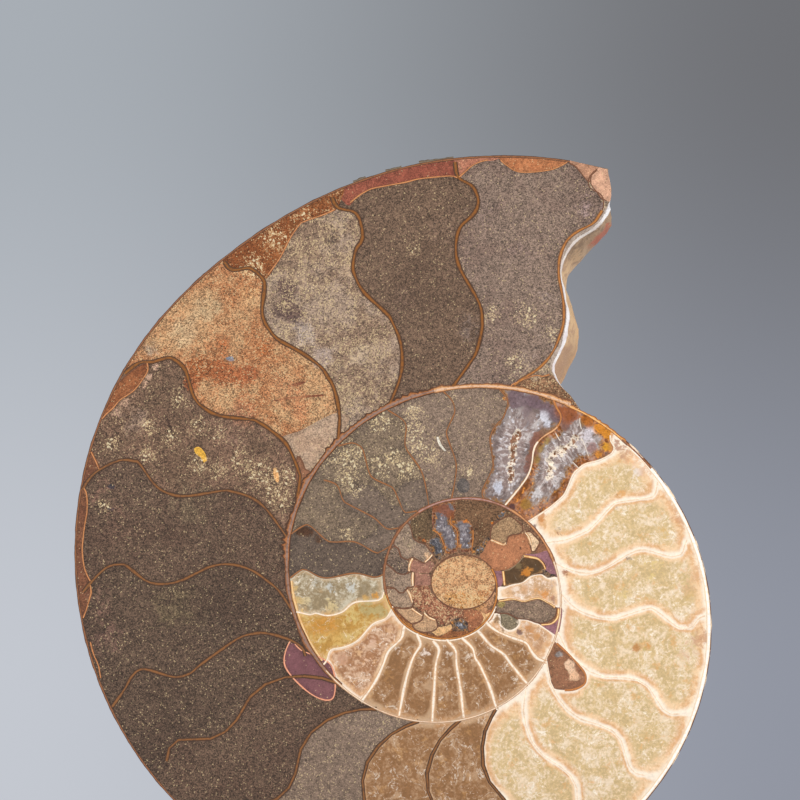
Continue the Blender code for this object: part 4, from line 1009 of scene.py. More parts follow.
def lineMaterial():
    # septa, walls and the edges of fillings: a middle, a border and dark, uneven sides
    made, place = material("shell_lines")
    across = abs(place.read("across", "Fac"))
    tint, border, side = (place.read(name) for name in ("tint", "accent", "side"))
    fine = place.noise(0.6, 4, 0.7)
    slow = place.noise(3.5, 3)
    ragged = across + (fine - 0.5) * 0.7 + (slow - 0.5) * 0.7
    colour = ragged.ease(0.2, 0.46).blend(tint, border)
    colour = ragged.ease(0.52, 0.76).blend(colour, side)
    pitted = (place.noise(0.8, 3, 0.6) + (slow - 0.5) * 0.3).ease(0.52, 0.6)
    colour = (pitted * 0.4).blend(colour, side)
    colour = colour.scaled(0.72 + fine * 0.6 + (slow - 0.5) * 0.5)
    return shade(made, colour, 0.3, fine, 0.03, 0.4)


# Meshes
def meshObject(name, points, faces, materials, smooth=True):
    # points in world metres
    data = bpy.data.meshes.new(name)
    data.from_pydata([tuple(p) for p in points], [], [tuple(int(i) for i in f) for f in faces])
    for made in materials:
        data.materials.append(made)
    data.validate()
    if smooth:
        data.shade_smooth()
        data.set_sharp_from_angle(angle=math.radians(40))
    else:
        data.shade_flat()
    made = bpy.data.objects.new(name, data)
    bpy.context.scene.collection.objects.link(made)
    return made


def paint(made, name, domain, values):
    # a field on the mesh: a value, a vector or a colour, by how many numbers each place has
    values = np.ascontiguousarray(values, np.float32)
    kinds = {1: ("FLOAT", "value"), 3: ("FLOAT_VECTOR", "vector"), 4: ("FLOAT_COLOR", "color")}
    kind, field = kinds[values[0].size]
    attribute = made.data.attributes.new(name, kind, domain)
    attribute.data.foreach_set(field, values.ravel())


slabs = {    # mm, by the distance from the outer edge and from the thin middle
    "edgeThick": 0.5, "added": 2.8, "addedFrom": 1, "addedTo": 6,
    "middleThick": 0.7, "perRadius": 0.06,
}
linings = {"thinner": 0.9, "onWalls": 0.6}    # on the younger side of a septum, and how they follow walls


def slabDepth(points, away):
    thick = slabs["edgeThick"] + slabs["added"] * smoothStep(away, slabs["addedFrom"], slabs["addedTo"])
    middle = slabs["middleThick"] + slabs["perRadius"] * np.hypot(points[:, 0], points[:, 1])
    return np.minimum(thick, middle)


def smoothStep(value, low, high):
    t = np.clip((value - low) / (high - low), 0, 1)
    return t * t * (3 - 2 * t)


hollows = {
    "druseGrey": ((15.8, 39.2), (14.8, 36.8), (14.5, 33.8), (14.2, 31.5), (14, 29.2), (14, 27.5)),
    "druseAmber": ((30, 38.2), (29.5, 37), (28, 35.8), (26.5, 35), (24.8, 34), (23.8, 32.2),
                   (24, 30.5), (23.5, 28.5)),
}
hollow = {
    "deep": 0.9, "half": 0.45,    # mm, its depth and half its width
    "core": 0.35,                 # mm from its middle line that count as the hollow itself
    "spread": 1.2, "step": 0.25,  # of the crystals' pattern, around the hollow and along it
    "ringReach": 3.2,             # mm from the wall to the middle of a small druse
}


def recipeOf(name):
    for kind, table in enumerate((sediments, calcites, druses)):
        if name in table:
            return kind, table[name]
    raise KeyError(name)


def shaded(points, lines, others):
    # 1 on the younger side of the nearest of these septa, 0 where another line is nearer
    dense = [densely(line) for line in lines]
    places = np.vstack(dense)
    along = np.vstack([np.gradient(line, axis=0) for line in dense])
    tree = nearest(lines)
    far = distances(nearest(others), points)
    found = np.zeros(len(points))
    for i, point in enumerate(points):
        _, k, gone = tree.find((*point, 0))
        away = point - places[k]
        found[i] = gone < far[i] and along[k][0] * away[1] > along[k][1] * away[0]
    return found


def hollowOut(points, faces, names, away, edge):
    # the crystals' pattern around each hollow, and how deep the hollow is. Changes edge in the druses
    rays, front = np.zeros((len(points), 3)), np.zeros(len(points))
    for name, line in hollows.items():
        line = smoothLine(line)
        core = densely(line)
        tree = nearest([line])
        for i in np.unique(faces[names == name]):
            _, near, gone = tree.find((*points[i], 0))
            edge[i] = away[i] / (away[i] + max(gone - hollow["core"], 0) + 1e-6)
            spread = math.atan2(*(points[i] - core[near]))
            rays[i] = (near * hollow["step"] + hollow["spread"] * math.cos(spread),
                       hollow["spread"] * math.sin(spread), edge[i] * 1.5)
            wobble = 0.45 * math.sin(near * 0.9) + 0.3 * math.sin(near * 0.41 + 1)
            front[i] = hollow["deep"] * float(smoothStep(hollow["half"] + wobble - gone, -0.3, 0.7))
    for name in ("druseRing", "druseDark"):
        mine = np.unique(faces[names == name])
        edge[mine] = np.minimum(away[mine] / hollow["ringReach"], 0.85)
        rays[mine, :2] = points[mine] * (1.1, 0.8)
    return rays, front


def fillingSlabs():
    points, faces, walled = cutFace()
    names = fillings(points, faces, walled)
    print("face cut into", len(faces), "triangles,", len(set(names)), "fillings")
    rimAway = distances(nearest([outline]), points)
    wallAway = np.maximum(np.minimum(rimAway, distances(nearest([innerWall]), points)), 1e-3)
    septumAway = np.maximum(distances(nearest([*septa, *(loop for _, _, loop in loops)]), points), 1e-3)
    oneSided = [smoothLine(line, lineGap) for line in (*paleSepta[2:], *lowSepta)]
    others = [smoothLine(line, lineGap) for line in (*paleSepta[:2], *outerSepta, *innerSepta, *closeSepta)]
    septumAway *= 1 + linings["thinner"] * shaded(points, oneSided, others)
    edge = ((wallAway * linings["onWalls"]) ** -2 + septumAway ** -2) ** -0.5    # grows slowly in corners
    rays, front = hollowOut(points, faces, names, np.minimum(wallAway, septumAway), edge)
    rear = np.maximum(slabDepth(points, rimAway), front + 0.5)
    fields = {"edge": edge, "stainAndShade": stainAndShadeAt(points), "rays": rays, "glitter": glitterAt(points)}
    looks = (sedimentMaterial(), calciteMaterial(), druseMaterial())
    groups = groupOf(points, faces, names)
    made = []
    for group in sorted(set(groups)):
        mine = groups == group
        made.append(slab(group, points, faces[mine], names[mine], (front, rear), looks, fields))
    return made


def groupOf(points, faces, names):
    # the piece that each face belongs to
    growth = growthAt(points[faces].mean(1))
    ringNames = {name for name, _, _ in centrePatches} | {"disc", "ringGrey"}
    found = np.where(growth > 800, "outer_fillings", "inner_fillings").astype(object)
    found[np.isin(names.astype(str), [*calcites, *druses])] = "calcite_fillings"
    found[np.isin(names.astype(str), list(ringNames))] = "centre_fillings"
    return found.astype(str)


def stainAndShadeAt(points):
    found = np.zeros((len(points), 4))
    total = np.zeros(len(points))
    for x, z, reach, colour, strength in stainsAndShade:
        gone = np.hypot(points[:, 0] - x, points[:, 1] - z)
        weight = strength * (1 - smoothStep(gone, reach * 0.2, reach))
        found[:, :3] += weight[:, None] * np.array(tone(*colour)[:3])
        total += weight
    found[:, :3] /= np.maximum(total, 1e-6)[:, None]
    found[:, 3] = np.minimum(total, 1)
    return found


def glitterAt(points):
    found = np.zeros(len(points))
    for x, z, reach in sprinkles:
        gone = np.hypot(points[:, 0] - x, points[:, 1] - z)
        found = np.maximum(found, 1 - smoothStep(gone, reach * 0.3, reach))
    return found


def slab(name, points, faces, names, depths, looks, fields):
    # these faces as a closed slab between two depths
    used, flat = np.unique(faces, return_inverse=True)
    faces = flat.reshape(-1, 3)
    count = len(used)
    spread = points[used]
    area = np.cross(spread[faces[:, 1]] - spread[faces[:, 0]], spread[faces[:, 2]] - spread[faces[:, 0]])
    faces = np.where(area[:, None] > 0, faces, faces[:, ::-1])    # the front faces -Y
    owner = {}
    for i, j in ((0, 1), (1, 2), (2, 0)):
        owner.update({(a, b): face for face, (a, b) in enumerate(faces[:, [i, j]])})
    rim = {(a, b): face for (a, b), face in owner.items() if (b, a) not in owner}
    sides = [(b, a, a + count, b + count) for a, b in rim]
    made = meshObject(name, np.vstack([inWorld(spread, depth[used]) for depth in depths]),
                      [*faces.tolist(), *(faces[:, ::-1] + count).tolist(), *sides], looks)
    kinds, tints, accents, tips, look = [], [], [], [], []
    for each in names[[*range(len(faces)), *range(len(faces)), *rim.values()]]:
        kind, recipe = recipeOf(each)
        kinds.append(kind)
        tints.append(tone(*recipe[0]))
        accents.append(tone(*recipe[1]))
        tips.append(tone(*recipe[2]) if kind == 2 else (0, 0, 0, 1))
        look.append(recipe[-3:])
    made.data.polygons.foreach_set("material_index", kinds)
    for field, values in (("tint", tints), ("accent", accents), ("tips", tips), ("look", look)):
        paint(made, field, "FACE", values)
    for field, values in fields.items():
        paint(made, field, "POINT", np.concatenate([values[used]] * 2))
    return made


lineKinds = {   # width in mm, middle, border, side, how far it stands proud, how ragged its outer side is
    "septum": (1.1, (144, 90, 40), (114, 72, 38), (76, 54, 40), 0.05, 0),
    "septumPink": (0.95, (140, 92, 52), (108, 72, 43), (68, 48, 37), 0.05, 0),
    "lastSeptum": (0.8, (182, 120, 60), (158, 98, 54), (110, 76, 52), 0.05, 0),
    "thinSeptum": (0.45, (166, 108, 62), (140, 92, 58), (104, 78, 60), 0.04, 0),
    "orangeSeptum": (0.5, (190, 118, 60), (206, 140, 84), (150, 90, 52), 0.05, 0),
    "peachSeptum": (0.45, (232, 184, 138), (214, 150, 100), (168, 108, 66), 0.04, 0),
    "goldRim": (0.6, (240, 190, 124), (214, 138, 66), (150, 92, 44), 0.05, 0.4),
    "paleSeptum": (0.55, (236, 206, 174), (244, 220, 192), (250, 234, 214), 0.03, 0),
    "creamSeptum": (0.45, (246, 234, 214), (240, 218, 194), (222, 186, 150), 0.04, 0),
    "closeSeptum": (0.95, (248, 236, 218), (238, 210, 180), (200, 156, 116), 0.05, 0),
    "wall": (1.3, (152, 122, 108), (168, 106, 60), (80, 52, 36), 0.06, 1),
    "wallLow": (1.1, (150, 120, 106), (158, 102, 62), (88, 58, 42), 0.06, 0.3),
    "amberLining": (0.6, (238, 204, 152), (226, 178, 116), (198, 146, 88), 0.02, 0.3),
    "ringWall": (0.6, (150, 106, 80), (160, 98, 54), (104, 68, 44), 0.06, 0.15),
    "innerRing": (0.5, (206, 136, 66), (176, 108, 48), (120, 74, 40), 0.06, 0),
    "paleWall": (0.45, (240, 222, 198), (210, 166, 126), (190, 142, 102), 0.08, 0.1),
    "rimEdge": (0.35, (212, 146, 94), (184, 118, 70), (134, 86, 54), 0.05, 0.1),
    "fineEdge": (0.3, (128, 84, 60), (112, 74, 52), (90, 60, 46), 0.04, 0),
    "pinkEdge": (0.4, (244, 176, 140), (226, 152, 118), (190, 120, 92), 0.04, 0),
    "paleEdge": (0.55, (250, 226, 190), (232, 184, 132), (190, 130, 84), 0.04, 0),
    "amberEdge": (0.55, (250, 214, 156), (232, 176, 104), (176, 110, 56), 0.04, 0),
    "ringTop": (0.8, (176, 138, 132), (168, 108, 70), (104, 70, 50), 0.06, 0.15),
    "ringRight": (0.75, (206, 150, 104), (176, 110, 62), (112, 74, 56), 0.06, 0.15),
    "vein": (0.22, (236, 226, 212), (222, 208, 194), (190, 170, 154), 0.02, 0),
    "wallPale": (1.2, (222, 182, 150), (208, 148, 94), (120, 78, 52), 0.06, 0.55),
    "orangeEdge": (0.3, (210, 138, 70), (186, 112, 52), (126, 80, 46), 0.04, 0),
    "shell": (0.55, (150, 98, 64), (120, 78, 50), (82, 56, 42), 0.03, 0.1),
    "whiteRim": (1.1, (255, 250, 242), (252, 238, 220), (236, 206, 170), 0.05, 0.1),
    "crust": (0.5, (128, 112, 92), (112, 96, 78), (92, 78, 64), 0, 0.3),
}
ribbonShape = {
    "steps": (-1, -0.5, 0, 0.5, 1),    # shares of its half width
    "sunk": 0.3,                       # mm that its sides go into the face
    "fray": 0.55, "lump": 4.5,         # mm between the knots of its ragged side
    "spurs": (1.6, 1.2), "spurReach": 1.5,    # mm that walls gain at the large septa and at the last one
}


def ribbon(line, kind, closed):
    # a strip along a line in the face: corners, faces and shares across. Walls widen where a septum ends
    width, _, _, _, proud, frill = lineKinds[kind]
    steps = ribbonShape["steps"]
    line = np.asarray(line, float)
    if closed:
        tangent = np.roll(line, -1, axis=0) - np.roll(line, 1, axis=0)
    else:
        tangent = np.gradient(line, axis=0)
    tangent /= np.maximum(np.linalg.norm(tangent, axis=1), 1e-9)[:, None]
    normal = np.stack([-tangent[:, 1], tangent[:, 0]], axis=1)
    along = np.concatenate([[0], np.cumsum(np.linalg.norm(np.diff(line, axis=0), axis=1))])
    # the width wavers a little, and the left side is as ragged as the kind says
    half = width / 2 * (1 + 0.12 * np.sin(along * 0.9) + 0.1 * np.sin(along * 0.37 + 2))
    frays = np.arange(0, along[-1] + 1.2, ribbonShape["fray"])
    lumps = np.arange(0, along[-1] + 9, ribbonShape["lump"])
    left = half + frill * np.interp(along, frays, dice.random(len(frays)) ** 1.6) * (
        0.25 + 1.3 * np.interp(along, lumps, dice.random(len(lumps))))
    if kind.startswith("wall"):
        large, last = ribbonShape["spurs"]
        for septum, grow in [(other, large) for other in outerSepta] + [(lastSeptum, last)]:
            gone = np.hypot(*(line - septum[-2]).T)
            left = left + grow * np.exp(-(gone / ribbonShape["spurReach"]) ** 1.4)
    shares = np.array([*steps, 1, -1])
    depths = [*(-proud * (1 - 0.4 * step * step) for step in steps), *[ribbonShape["sunk"]] * 2]
    rings = [inWorld(line + normal * (np.where(share > 0, left, half) * share)[:, None], depth)
             for share, depth in zip(shares, depths)]
    points = np.stack(rings, axis=1).reshape(-1, 3)
    faces = tube(len(line), len(rings), closed)
    return points, faces, np.tile(shares, len(line))


def tube(count, around, closed=False):
    # faces between rings of points that follow each other, with two end caps where it isn't closed
    faces = []
    for i in range(count if closed else count - 1):
        k = (i + 1) % count
        for j in range(around):
            m = (j + 1) % around
            faces.append((i * around + j, k * around + j, k * around + m, i * around + m))
    if not closed:
        faces.append(tuple(range(around)))
        faces.append(tuple(range((count - 1) * around, count * around))[::-1])
    return faces


def runsInside(loop, margin=0.996):
    # the stretches of a closed loop that lie on the face
    kept = inside(loop / margin, outline)
    if kept.all():
        return [loop]
    start = int(np.argmin(kept))
    loop, kept = np.roll(loop, -start, axis=0), np.roll(kept, -start)
    runs, run = [], []
    for point, keep in zip(loop, kept):
        if keep:
            run.append(point)
        elif run:
            runs.append(np.array(run))
            run = []
    return [run for run in [*runs, np.array(run)] if len(run) > 3]


def ribbons(name, lines, look):
    points, faces, shares, colours = [], [], [], [[], [], []]
    start = 0
    for kind, line, closed in lines:
        some, someFaces, share = ribbon(line, kind, closed)
        points.append(some)
        faces.extend(tuple(i + start for i in face) for face in someFaces)
        shares.append(share)
        for found, colour in zip(colours, lineKinds[kind][1:4]):
            found.append(np.tile(tone(*colour), (len(some), 1)))
        start += len(some)
    made = meshObject(name, np.vstack(points), faces, (look,))
    paint(made, "across", "POINT", np.concatenate(shares))
    for field, values in zip(("tint", "accent", "side"), colours):
        paint(made, field, "POINT", np.vstack(values))
    return made


def settle(made, node):
    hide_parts(node)
    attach(made, "root")
    return made


def trimmed(line, margin=0.98):
    # a septum without the part that would run over the rim
    return line[inside(line / margin, outline)]


def septumStrips():
    # the wall between the druses pales on its way in, and the last septum is thin where it leaves the rim
    druseWall, end = smoothLine(paleSepta[0]), smoothLine(lastSeptum)
    quarter, half = len(druseWall) // 4, len(druseWall) * 4 // 9
    strips = [("septum" if i < 4 else "septumPink", trimmed(smoothLine(line), 0.994))
              for i, line in enumerate(outerSepta)]
    strips += [("fineEdge", end[:18]), ("lastSeptum", end[17:])]
    strips += [("creamSeptum" if i < 2 else "thinSeptum", smoothLine(line))
               for i, line in enumerate(innerSepta)]
    strips += [("orangeSeptum", druseWall[:quarter]), ("peachSeptum", druseWall[quarter - 1:half]),
               ("creamSeptum", druseWall[half - 1:]), ("creamSeptum", trimmed(smoothLine(paleSepta[1])))]
    strips += [("paleSeptum", trimmed(smoothLine(line))) for line in paleSepta[2:]]
    for line in closeSepta[:-1]:    # they start a little inside the ring
        first, second = np.array(line[:2])
        strips.append(("closeSeptum", smoothLine([first + (first - second) * 0.3, *line])))
    strips.append(("closeSeptum", smoothLine(closeSepta[-1])))
    strips += [("paleSeptum" if i < 3 else "septumPink", trimmed(line)) for i, line in enumerate(lowSepta)]
    return [(*strip, False) for strip in strips]


def wallStrips():
    return [(kind, spiral(start, stop, step) * share, False) for kind, start, stop, step, share in wallRuns]


def edgeStrips():
    strips = [("rimEdge", smoothLine(line), False) for line in rimLines]
    strips += [(kind, smoothLine(line, 0.5), False) for kind, *line in brightRuns]
    for _, edging, loop in loops:
        if edging:
            strips += [(edging, run, len(run) == len(loop)) for run in runsInside(loop)]
    return strips


# walls of the coil: kind, growth from and to, step, share of the radius
wallRuns = (
    ("innerRing", 60, 272, 1.5, 1), ("creamSeptum", 112, 234, 1.5, 1.035), ("ringWall", 266, 338, 1, 1),
    ("ringTop", 335, 398, 1, 1), ("ringRight", 394, 436, 1, 1), ("paleWall", 434, 598, 0.8, 1),
    ("wallLow", 590, 642, 0.5, 1), ("amberLining", 602, 633.5, 0.8, 0.978), ("wall", 640, 716, 0.5, 1),
    ("wallPale", 714, 752, 0.5, 1), ("goldRim", 751, 769, 0.6, 0.994), ("ringWall", 768, 778, 0.6, 0.992),
    ("whiteRim", 770, 905, 0.6, 0.991), ("fineEdge", 762, 905, 1, 0.9985),
    ("shell", 903, 1095, 0.5, 0.9975), ("crust", 1066, 1067.8, 0.2, 1.001),
    ("crust", 1070.6, 1072.8, 0.2, 1.001), ("crust", 1075.2, 1079.8, 0.2, 1.001),
)

for piece in fillingSlabs():
    settle(piece, "ammonite_half")
print("fillings made")
lineLook = lineMaterial()
for name, strips in (("septa", septumStrips), ("filling_edges", edgeStrips), ("coil_walls", wallStrips)):
    settle(ribbons(name, strips(), lineLook), "ammonite_half")
print("lines made")

# The back of the half, its broken end and the hidden face behind the fillings
back = {
    "flankHeight": 0.207, "flankTop": 0.42, "flankPower": 2.2, "flankRound": 0.62,    # as the CAD
    "seam": 0.55,       # share of the radius at which a turn meets the one inside
    "edge": 1.2,        # mm, the thickness at the outer edge
    "core": 3,          # mm, the depth at the pole
    "wallStart": 0.7,   # share of the way down the inner flank where the umbilical wall begins
    "outerLevels": 26, "innerLevels": 14, "turns": 3, "step": 1.25,
    "ribs": 34, "ribDepth": 0.8,    # ribs to a turn, and mm between crest and valley
    "ribStart": (0.3, 0.6), "ribEnd": (0.86, 0.98),    # shares of the radius over which they rise and fade
    "breakRim": (    # share of the radius, and growth, along the broken edge on the back
        (1, 1100), (0.94, 1101.7), (0.88, 1103.7), (0.81, 1101.8), (0.745, 1100), (0.71, 1101.2),
        (0.65, 1105.9), (0.6, 1108), (0.5, 1108.3), (0.4, 1109.5), (0.3, 1112), (0.2, 1115),
    ),
    "breakGap": 1.6,
    "lip": 0.45,        # mm, the depth at which the broken end begins
    "uneven": 0.35,     # degrees that it waves to either side
    "whiteStrip": (    # height above the pole, then its middle past the face and its half width
        (50, 0.3, 0.3), (55, 0.8, 0.3), (57.5, 1.4, 0.3), (60, 1.3, 0.35), (63, 1, 0.45), (65, 0.8, 0.5),
        (68.5, 0.9, 0.55), (72.5, 0.9, 0.45), (75, 0.7, 0.4), (77, 0.4, 0.3), (79, 0.3, 0.25),
        (82, 0.5, 0.25), (85, 1.2, 0.3), (88.7, 1.2, 0.3), (91.5, 1.1, 0.35), (93.7, 1.1, 0.4),
        (96, 0.8, 0.5), (98, 0.4, 0.6), (99.5, -2, 0.4),
    ),
    "faceGap": 5,       # between points of the hidden face
    "overlap": 0.05,    # mm that the fillings sink into it
}


def flank(share):
    out = np.maximum(share - back["flankTop"], 0) / (1 - back["flankTop"])
    return back["flankHeight"] * np.maximum(1 - out ** back["flankPower"], 0) ** back["flankRound"]


def depthAt(share, growth):
    return back["edge"] + venter(growth) * flank(share)


def outerFlank(growth):
    share = 1 - (1 - back["seam"]) * np.linspace(0, 1, back["outerLevels"]) ** 1.5
    return share, depthAt(share, growth)


def innerFlank(growth):
    # down the inner flank and the umbilical wall, to the seam with the turn inside
    end = back["seam"] * venter(growth - turn) / venter(growth)
    level = np.linspace(0, 1, back["innerLevels"] + 1)[1:]
    level = 1 - (1 - level) ** 1.3
    share = back["seam"] - level * (back["seam"] - end)
    top = depthAt(back["flankTop"], growth)
    foot = back["edge"] + venter(growth - turn) * flank(back["seam"])
    over = np.maximum(level - back["wallStart"], 0) / (1 - back["wallStart"])
    return share, np.minimum(depthAt(share, growth), foot + (top - foot) * np.sqrt(1 - over * over))


def sway(share):
    # how far a growth line leans back, in degrees, on its way out
    return 9 * (share - 0.35) ** 2 + 3.5 * np.sin(share * 7.5) - 1.0


def carved(share, depth, growth):
    # the valleys between the ribs, cut into the flank
    phase = (growth + sway(share)) * back["ribs"] / turn
    valley = 0.5 - 0.5 * np.cos(2 * np.pi * phase)
    strength = smoothStep(share, *back["ribStart"]) * (1 - smoothStep(share, *back["ribEnd"]))
    strength = strength * venter(growth) / 100
    return depth - back["ribDepth"] * valley * strength


def column(growth):
    # (radius, depth, share, growth) of one line of points from the outer edge to the pole
    rows = []
    flanks = [(growth, outerFlank)] + [(growth - turn * k, innerFlank) for k in range(back["turns"])]
    for place, levels in flanks:
        share, depth = levels(place)
        rows.append((venter(place) * share, carved(share, depth, place), share, np.full(len(share), place)))
    return np.hstack([np.stack(row) for row in rows]).T


def breakGrowth(share):
    rim = np.array(back["breakRim"])[::-1]
    return np.interp(share, rim[:, 0], rim[:, 1])


def hiddenFace(border):
    # points and faces behind the fillings, inside this outline
    gap = back["faceGap"]
    low, high = border.min(0), border.max(0)
    grid = np.array([(x, z) for x in np.arange(low[0], high[0], gap)
                     for z in np.arange(low[1], high[1], gap)])
    tree = nearest([np.vstack([border, border[:1]])])
    grid = grid[inside(grid, border)]
    grid = grid[distances(tree, grid) > gap * 0.4]
    points = np.vstack([border, grid])
    edges = [(i, (i + 1) % len(border)) for i in range(len(border))]
    _, _, faces, origins, _, _ = delaunay_2d_cdt([Vector(p) for p in points], edges, [], 1, 1e-6)
    faces = [[origins[i][0] for i in face] for face in faces]
    depth = slabDepth(points, np.where(np.arange(len(points)) < len(border), 0, distances(tree, points)))
    return points, depth - back["overlap"], faces


def halfBody():
    # the points with their share and growth, the faces of shell, hidden face and break, and the break's rim
    first, last, step = coil["firstGrowth"], coil["lastGrowth"], back["step"]
    growths = np.arange(first, last + step / 2, step)
    columns = [column(g) for g in growths]
    rows = len(columns[0])
    coords = [(*polar(r, growth), d) for growth, col in zip(growths, columns) for r, d, _, _ in col]
    marks = [(s, g) for col in columns for _, _, s, g in col]
    index = np.arange(len(coords)).reshape(len(growths), rows)
    faces = [(index[i, k], index[i, k + 1], index[i + 1, k + 1], index[i + 1, k])
             for i in range(len(growths) - 1) for k in range(rows - 1)]

    # the rim of the break, then the points that the last turn shares with its own start
    levels = (outerFlank(first + turn), innerFlank(first + turn))
    share, depth = (np.concatenate([levels[0][k], levels[1][k][:-1]]) for k in (0, 1))
    growth = breakGrowth(share)
    depth = carved(share, depth, growth)
    rim = list(range(len(coords), len(coords) + len(share)))
    coords += [(*polar(venter(g) * s, g), d) for s, g, d in zip(share, growth, depth)]
    marks += list(zip(share, growth))
    closing = rim + list(index[0, back["outerLevels"] - 1:rows - back["innerLevels"]])
    faces += [(index[-1, k], index[-1, k + 1], closing[k + 1], closing[k]) for k in range(len(closing) - 1)]
    pole = len(coords)
    coords.append((0, 0, back["core"]))
    marks.append((0, 0))
    ring = list(index[:, -1]) + list(index[0, rows - back["innerLevels"] - 1:])
    faces += [(a, b, pole) for a, b in zip(ring, ring[1:]) if a != b]

    # the hidden face, and the thin edge between it and the back
    frontRim = spiral(first, last, step)
    edge = smoothLine(coil["breakEdge"], 0.9)
    points, depths, caps = hiddenFace(np.vstack([frontRim, edge]))
    start = len(coords)
    coords += [(*p, d) for p, d in zip(points, depths)]
    marks += [(1, g) for g in growthAt(points)]
    caps = [tuple(start + i for i in cap) for cap in caps]
    faces += [(start + k, start + k + 1, index[k + 1, 0], index[k, 0]) for k in range(len(frontRim) - 1)]
    corner = start + len(frontRim)
    faces.append((corner - 1, corner, rim[0], index[-1, 0]))
    broken = brokenEnd(coords, marks, [*range(corner, corner + len(edge)), start], rim,
                       list(index[0, :back["outerLevels"]])[::-1])
    return coords, marks, faces, caps, broken, np.array([coords[i][:2] for i in rim])


def brokenEnd(coords, marks, edge, rim, under):
    # fills the break between its edge in the face, its rim on the back and the turn underneath
    def flat(i):
        x, z, depth = coords[i]
        return math.hypot(x, z), depth, math.degrees(math.atan2(x, z))

    def across(table, radius, item):
        return float(np.interp(radius, [row[0] for row in table], [row[item] for row in table]))

    loop = edge + under[::-1] + rim[::-1]
    loop = [i for k, i in enumerate(loop) if i != loop[k - 1]]
    fronts, lows, backs = (sorted(flat(i) for i in line) for line in (edge, under, rim))
    gap = back["breakGap"]
    found = []
    low, high = backs[0][0], backs[-1][0]
    for i in range(1, int((high - low) / gap)):
        radius = low + i * gap
        base = across(lows, radius, 1) if radius < lows[-1][0] else back["lip"]
        top = across(backs, radius, 1)
        front = across(fronts, radius, 2) if radius > fronts[0][0] else lows[0][2]
        steps = int((top - base) / gap)
        for k in range(1, steps):
            share = k / steps
            angle = front + (across(backs, radius, 2) - front) * math.sin(share * math.pi / 2)
            angle += back["uneven"] * math.sin(radius * 1.1 + share * 5) * math.sin(share * math.pi)
            found.append((radius, base + (top - base) * share, angle))
    ring = [(i, (i + 1) % len(loop)) for i in range(len(loop))]
    flatPoints = [Vector(p[:2]) for p in [flat(i) for i in loop] + found]
    _, _, faces, origins, _, _ = delaunay_2d_cdt(flatPoints, ring, [], 1, 1e-6)
    start = len(coords)
    coords += [(*polar(r, g), d) for r, d, g in found]
    marks += [(2, g) for _, _, g in found]
    names = loop + list(range(start, len(coords)))
    return [tuple(names[origins[i][0]] for i in face) for face in faces]


def shellMaterial():
    # the natural outside of the shell, lightly polished
    made, place = material("natural_shell")
    lines = place.read("lines", "Vector")
    growthLines = lines.noise(0.5, 3, 0.6)
    bands = lines.noise(5.0, 3, 0.6)
    broad = place.noise(22, 4, 0.6)
    cloud = place.noise(6, 5, 0.65)
    fine = place.noise(0.7, 4, 0.7)
    colour = broad.ease(0.4, 0.6).blend(tone(150, 116, 88), tone(126, 100, 82))
    colour = (cloud.ease(0.5, 0.66) * 0.8).blend(colour, tone(184, 156, 126))
    colour = (bands.ease(0.52, 0.7) * 0.5).blend(colour, tone(112, 74, 52))
    colour = (growthLines.ease(0.5, 0.7) * 0.45).blend(colour, tone(96, 72, 56))
    flakes = (place.noise(9, 5, 0.7, 0.4) + (growthLines - 0.5) * 0.6 + (fine - 0.5) * 0.3).ease(0.56, 0.72)
    colour = (flakes * 0.4).blend(colour, tone(192, 172, 146))
    chalk = (place.noise(16, 4, 0.6)).ease(0.56, 0.66)
    colour = (chalk * 0.35).blend(colour, tone(150, 92, 58))
    colour = colour.scaled(0.84 + fine * 0.32)
    height = growthLines * 0.12 + fine * 0.1 + flakes * 0.1 + cloud * 0.2
    return shade(made, colour, 0.38 + fine * 0.2 - flakes * 0.1, height, 0.5)


def breakMaterial():
    # the broken end: white calcite along the septum, brown and tan rock behind it
    made, place = material("broken_end")
    white = place.read("white", "Fac")       # -1 to 1 across the white strip beside the face
    brink = place.read("brink", "Fac")       # mm from the far edge of the break
    high = place.read("high", "Fac")         # mm above the pole
    fine = place.noise(0.6, 4, 0.7)
    cloud = place.noise(3.0, 4, 0.6)
    rock = high.ease(56, 66).blend(tone(180, 142, 108), tone(214, 178, 134))
    rock = high.ease(78, 88).blend(rock, tone(168, 138, 108))
    dark = high.ease(78, 86).blend(tone(176, 138, 108), tone(126, 100, 76))
    mottle = (cloud + (fine - 0.5) * 0.5 + brink.ease(1.0, 3.0, -0.04, 0.06)).ease(0.46, 0.62)
    rock = (mottle * 0.85).blend(rock, dark)
    rock = ((fine > 0.6) * 0.3).blend(rock, tone(220, 190, 156))
    rough = (cloud - 0.5) * 5 + (fine - 0.5) * 3
    wavy = high + rough
    rust = (brink + rough * 0.3).ease(1.7, 0.9) * wavy.ease(85.8, 87.2) * wavy.ease(92.2, 91)
    rock = (rust * 0.9).blend(rock, tone(178, 100, 74))
    lit = (brink + rough * 0.4).ease(1.6, -0.2) * high.ease(74.0, 64.0)
    rock = (lit * 0.75).blend(rock, tone(222, 170, 108))
    shifted = white + (cloud - 0.5) * 1.6 + (fine - 0.5) * 1.4
    ashen = (fine + (cloud - 0.5) * 0.6).ease(0.4, 0.6).blend(tone(160, 138, 120), tone(194, 174, 158))
    colour = shifted.ease(-0.3, 0.3).blend(ashen, rock)
    strip = abs(shifted).ease(1.5, 0.7)
    dull = high.ease(77, 79) * high.ease(93, 91.5) * 0.5
    milky = (cloud + (fine - 0.5) * 0.4).ease(0.45, 0.6).blend(tone(250, 246, 244), tone(232, 222, 222))
    colour = strip.blend(colour, dull.blend(milky, tone(208, 188, 168)))
    # painted light: the whole broken end is made brighter, since it faces away from the lamps, with fine
    # grain on top
    colour = colour.scaled(1.09 + fine * 0.56)
    return shade(made, colour, 0.3 + fine * 0.25, fine * 0.35 + cloud * 0.7, 0.6)


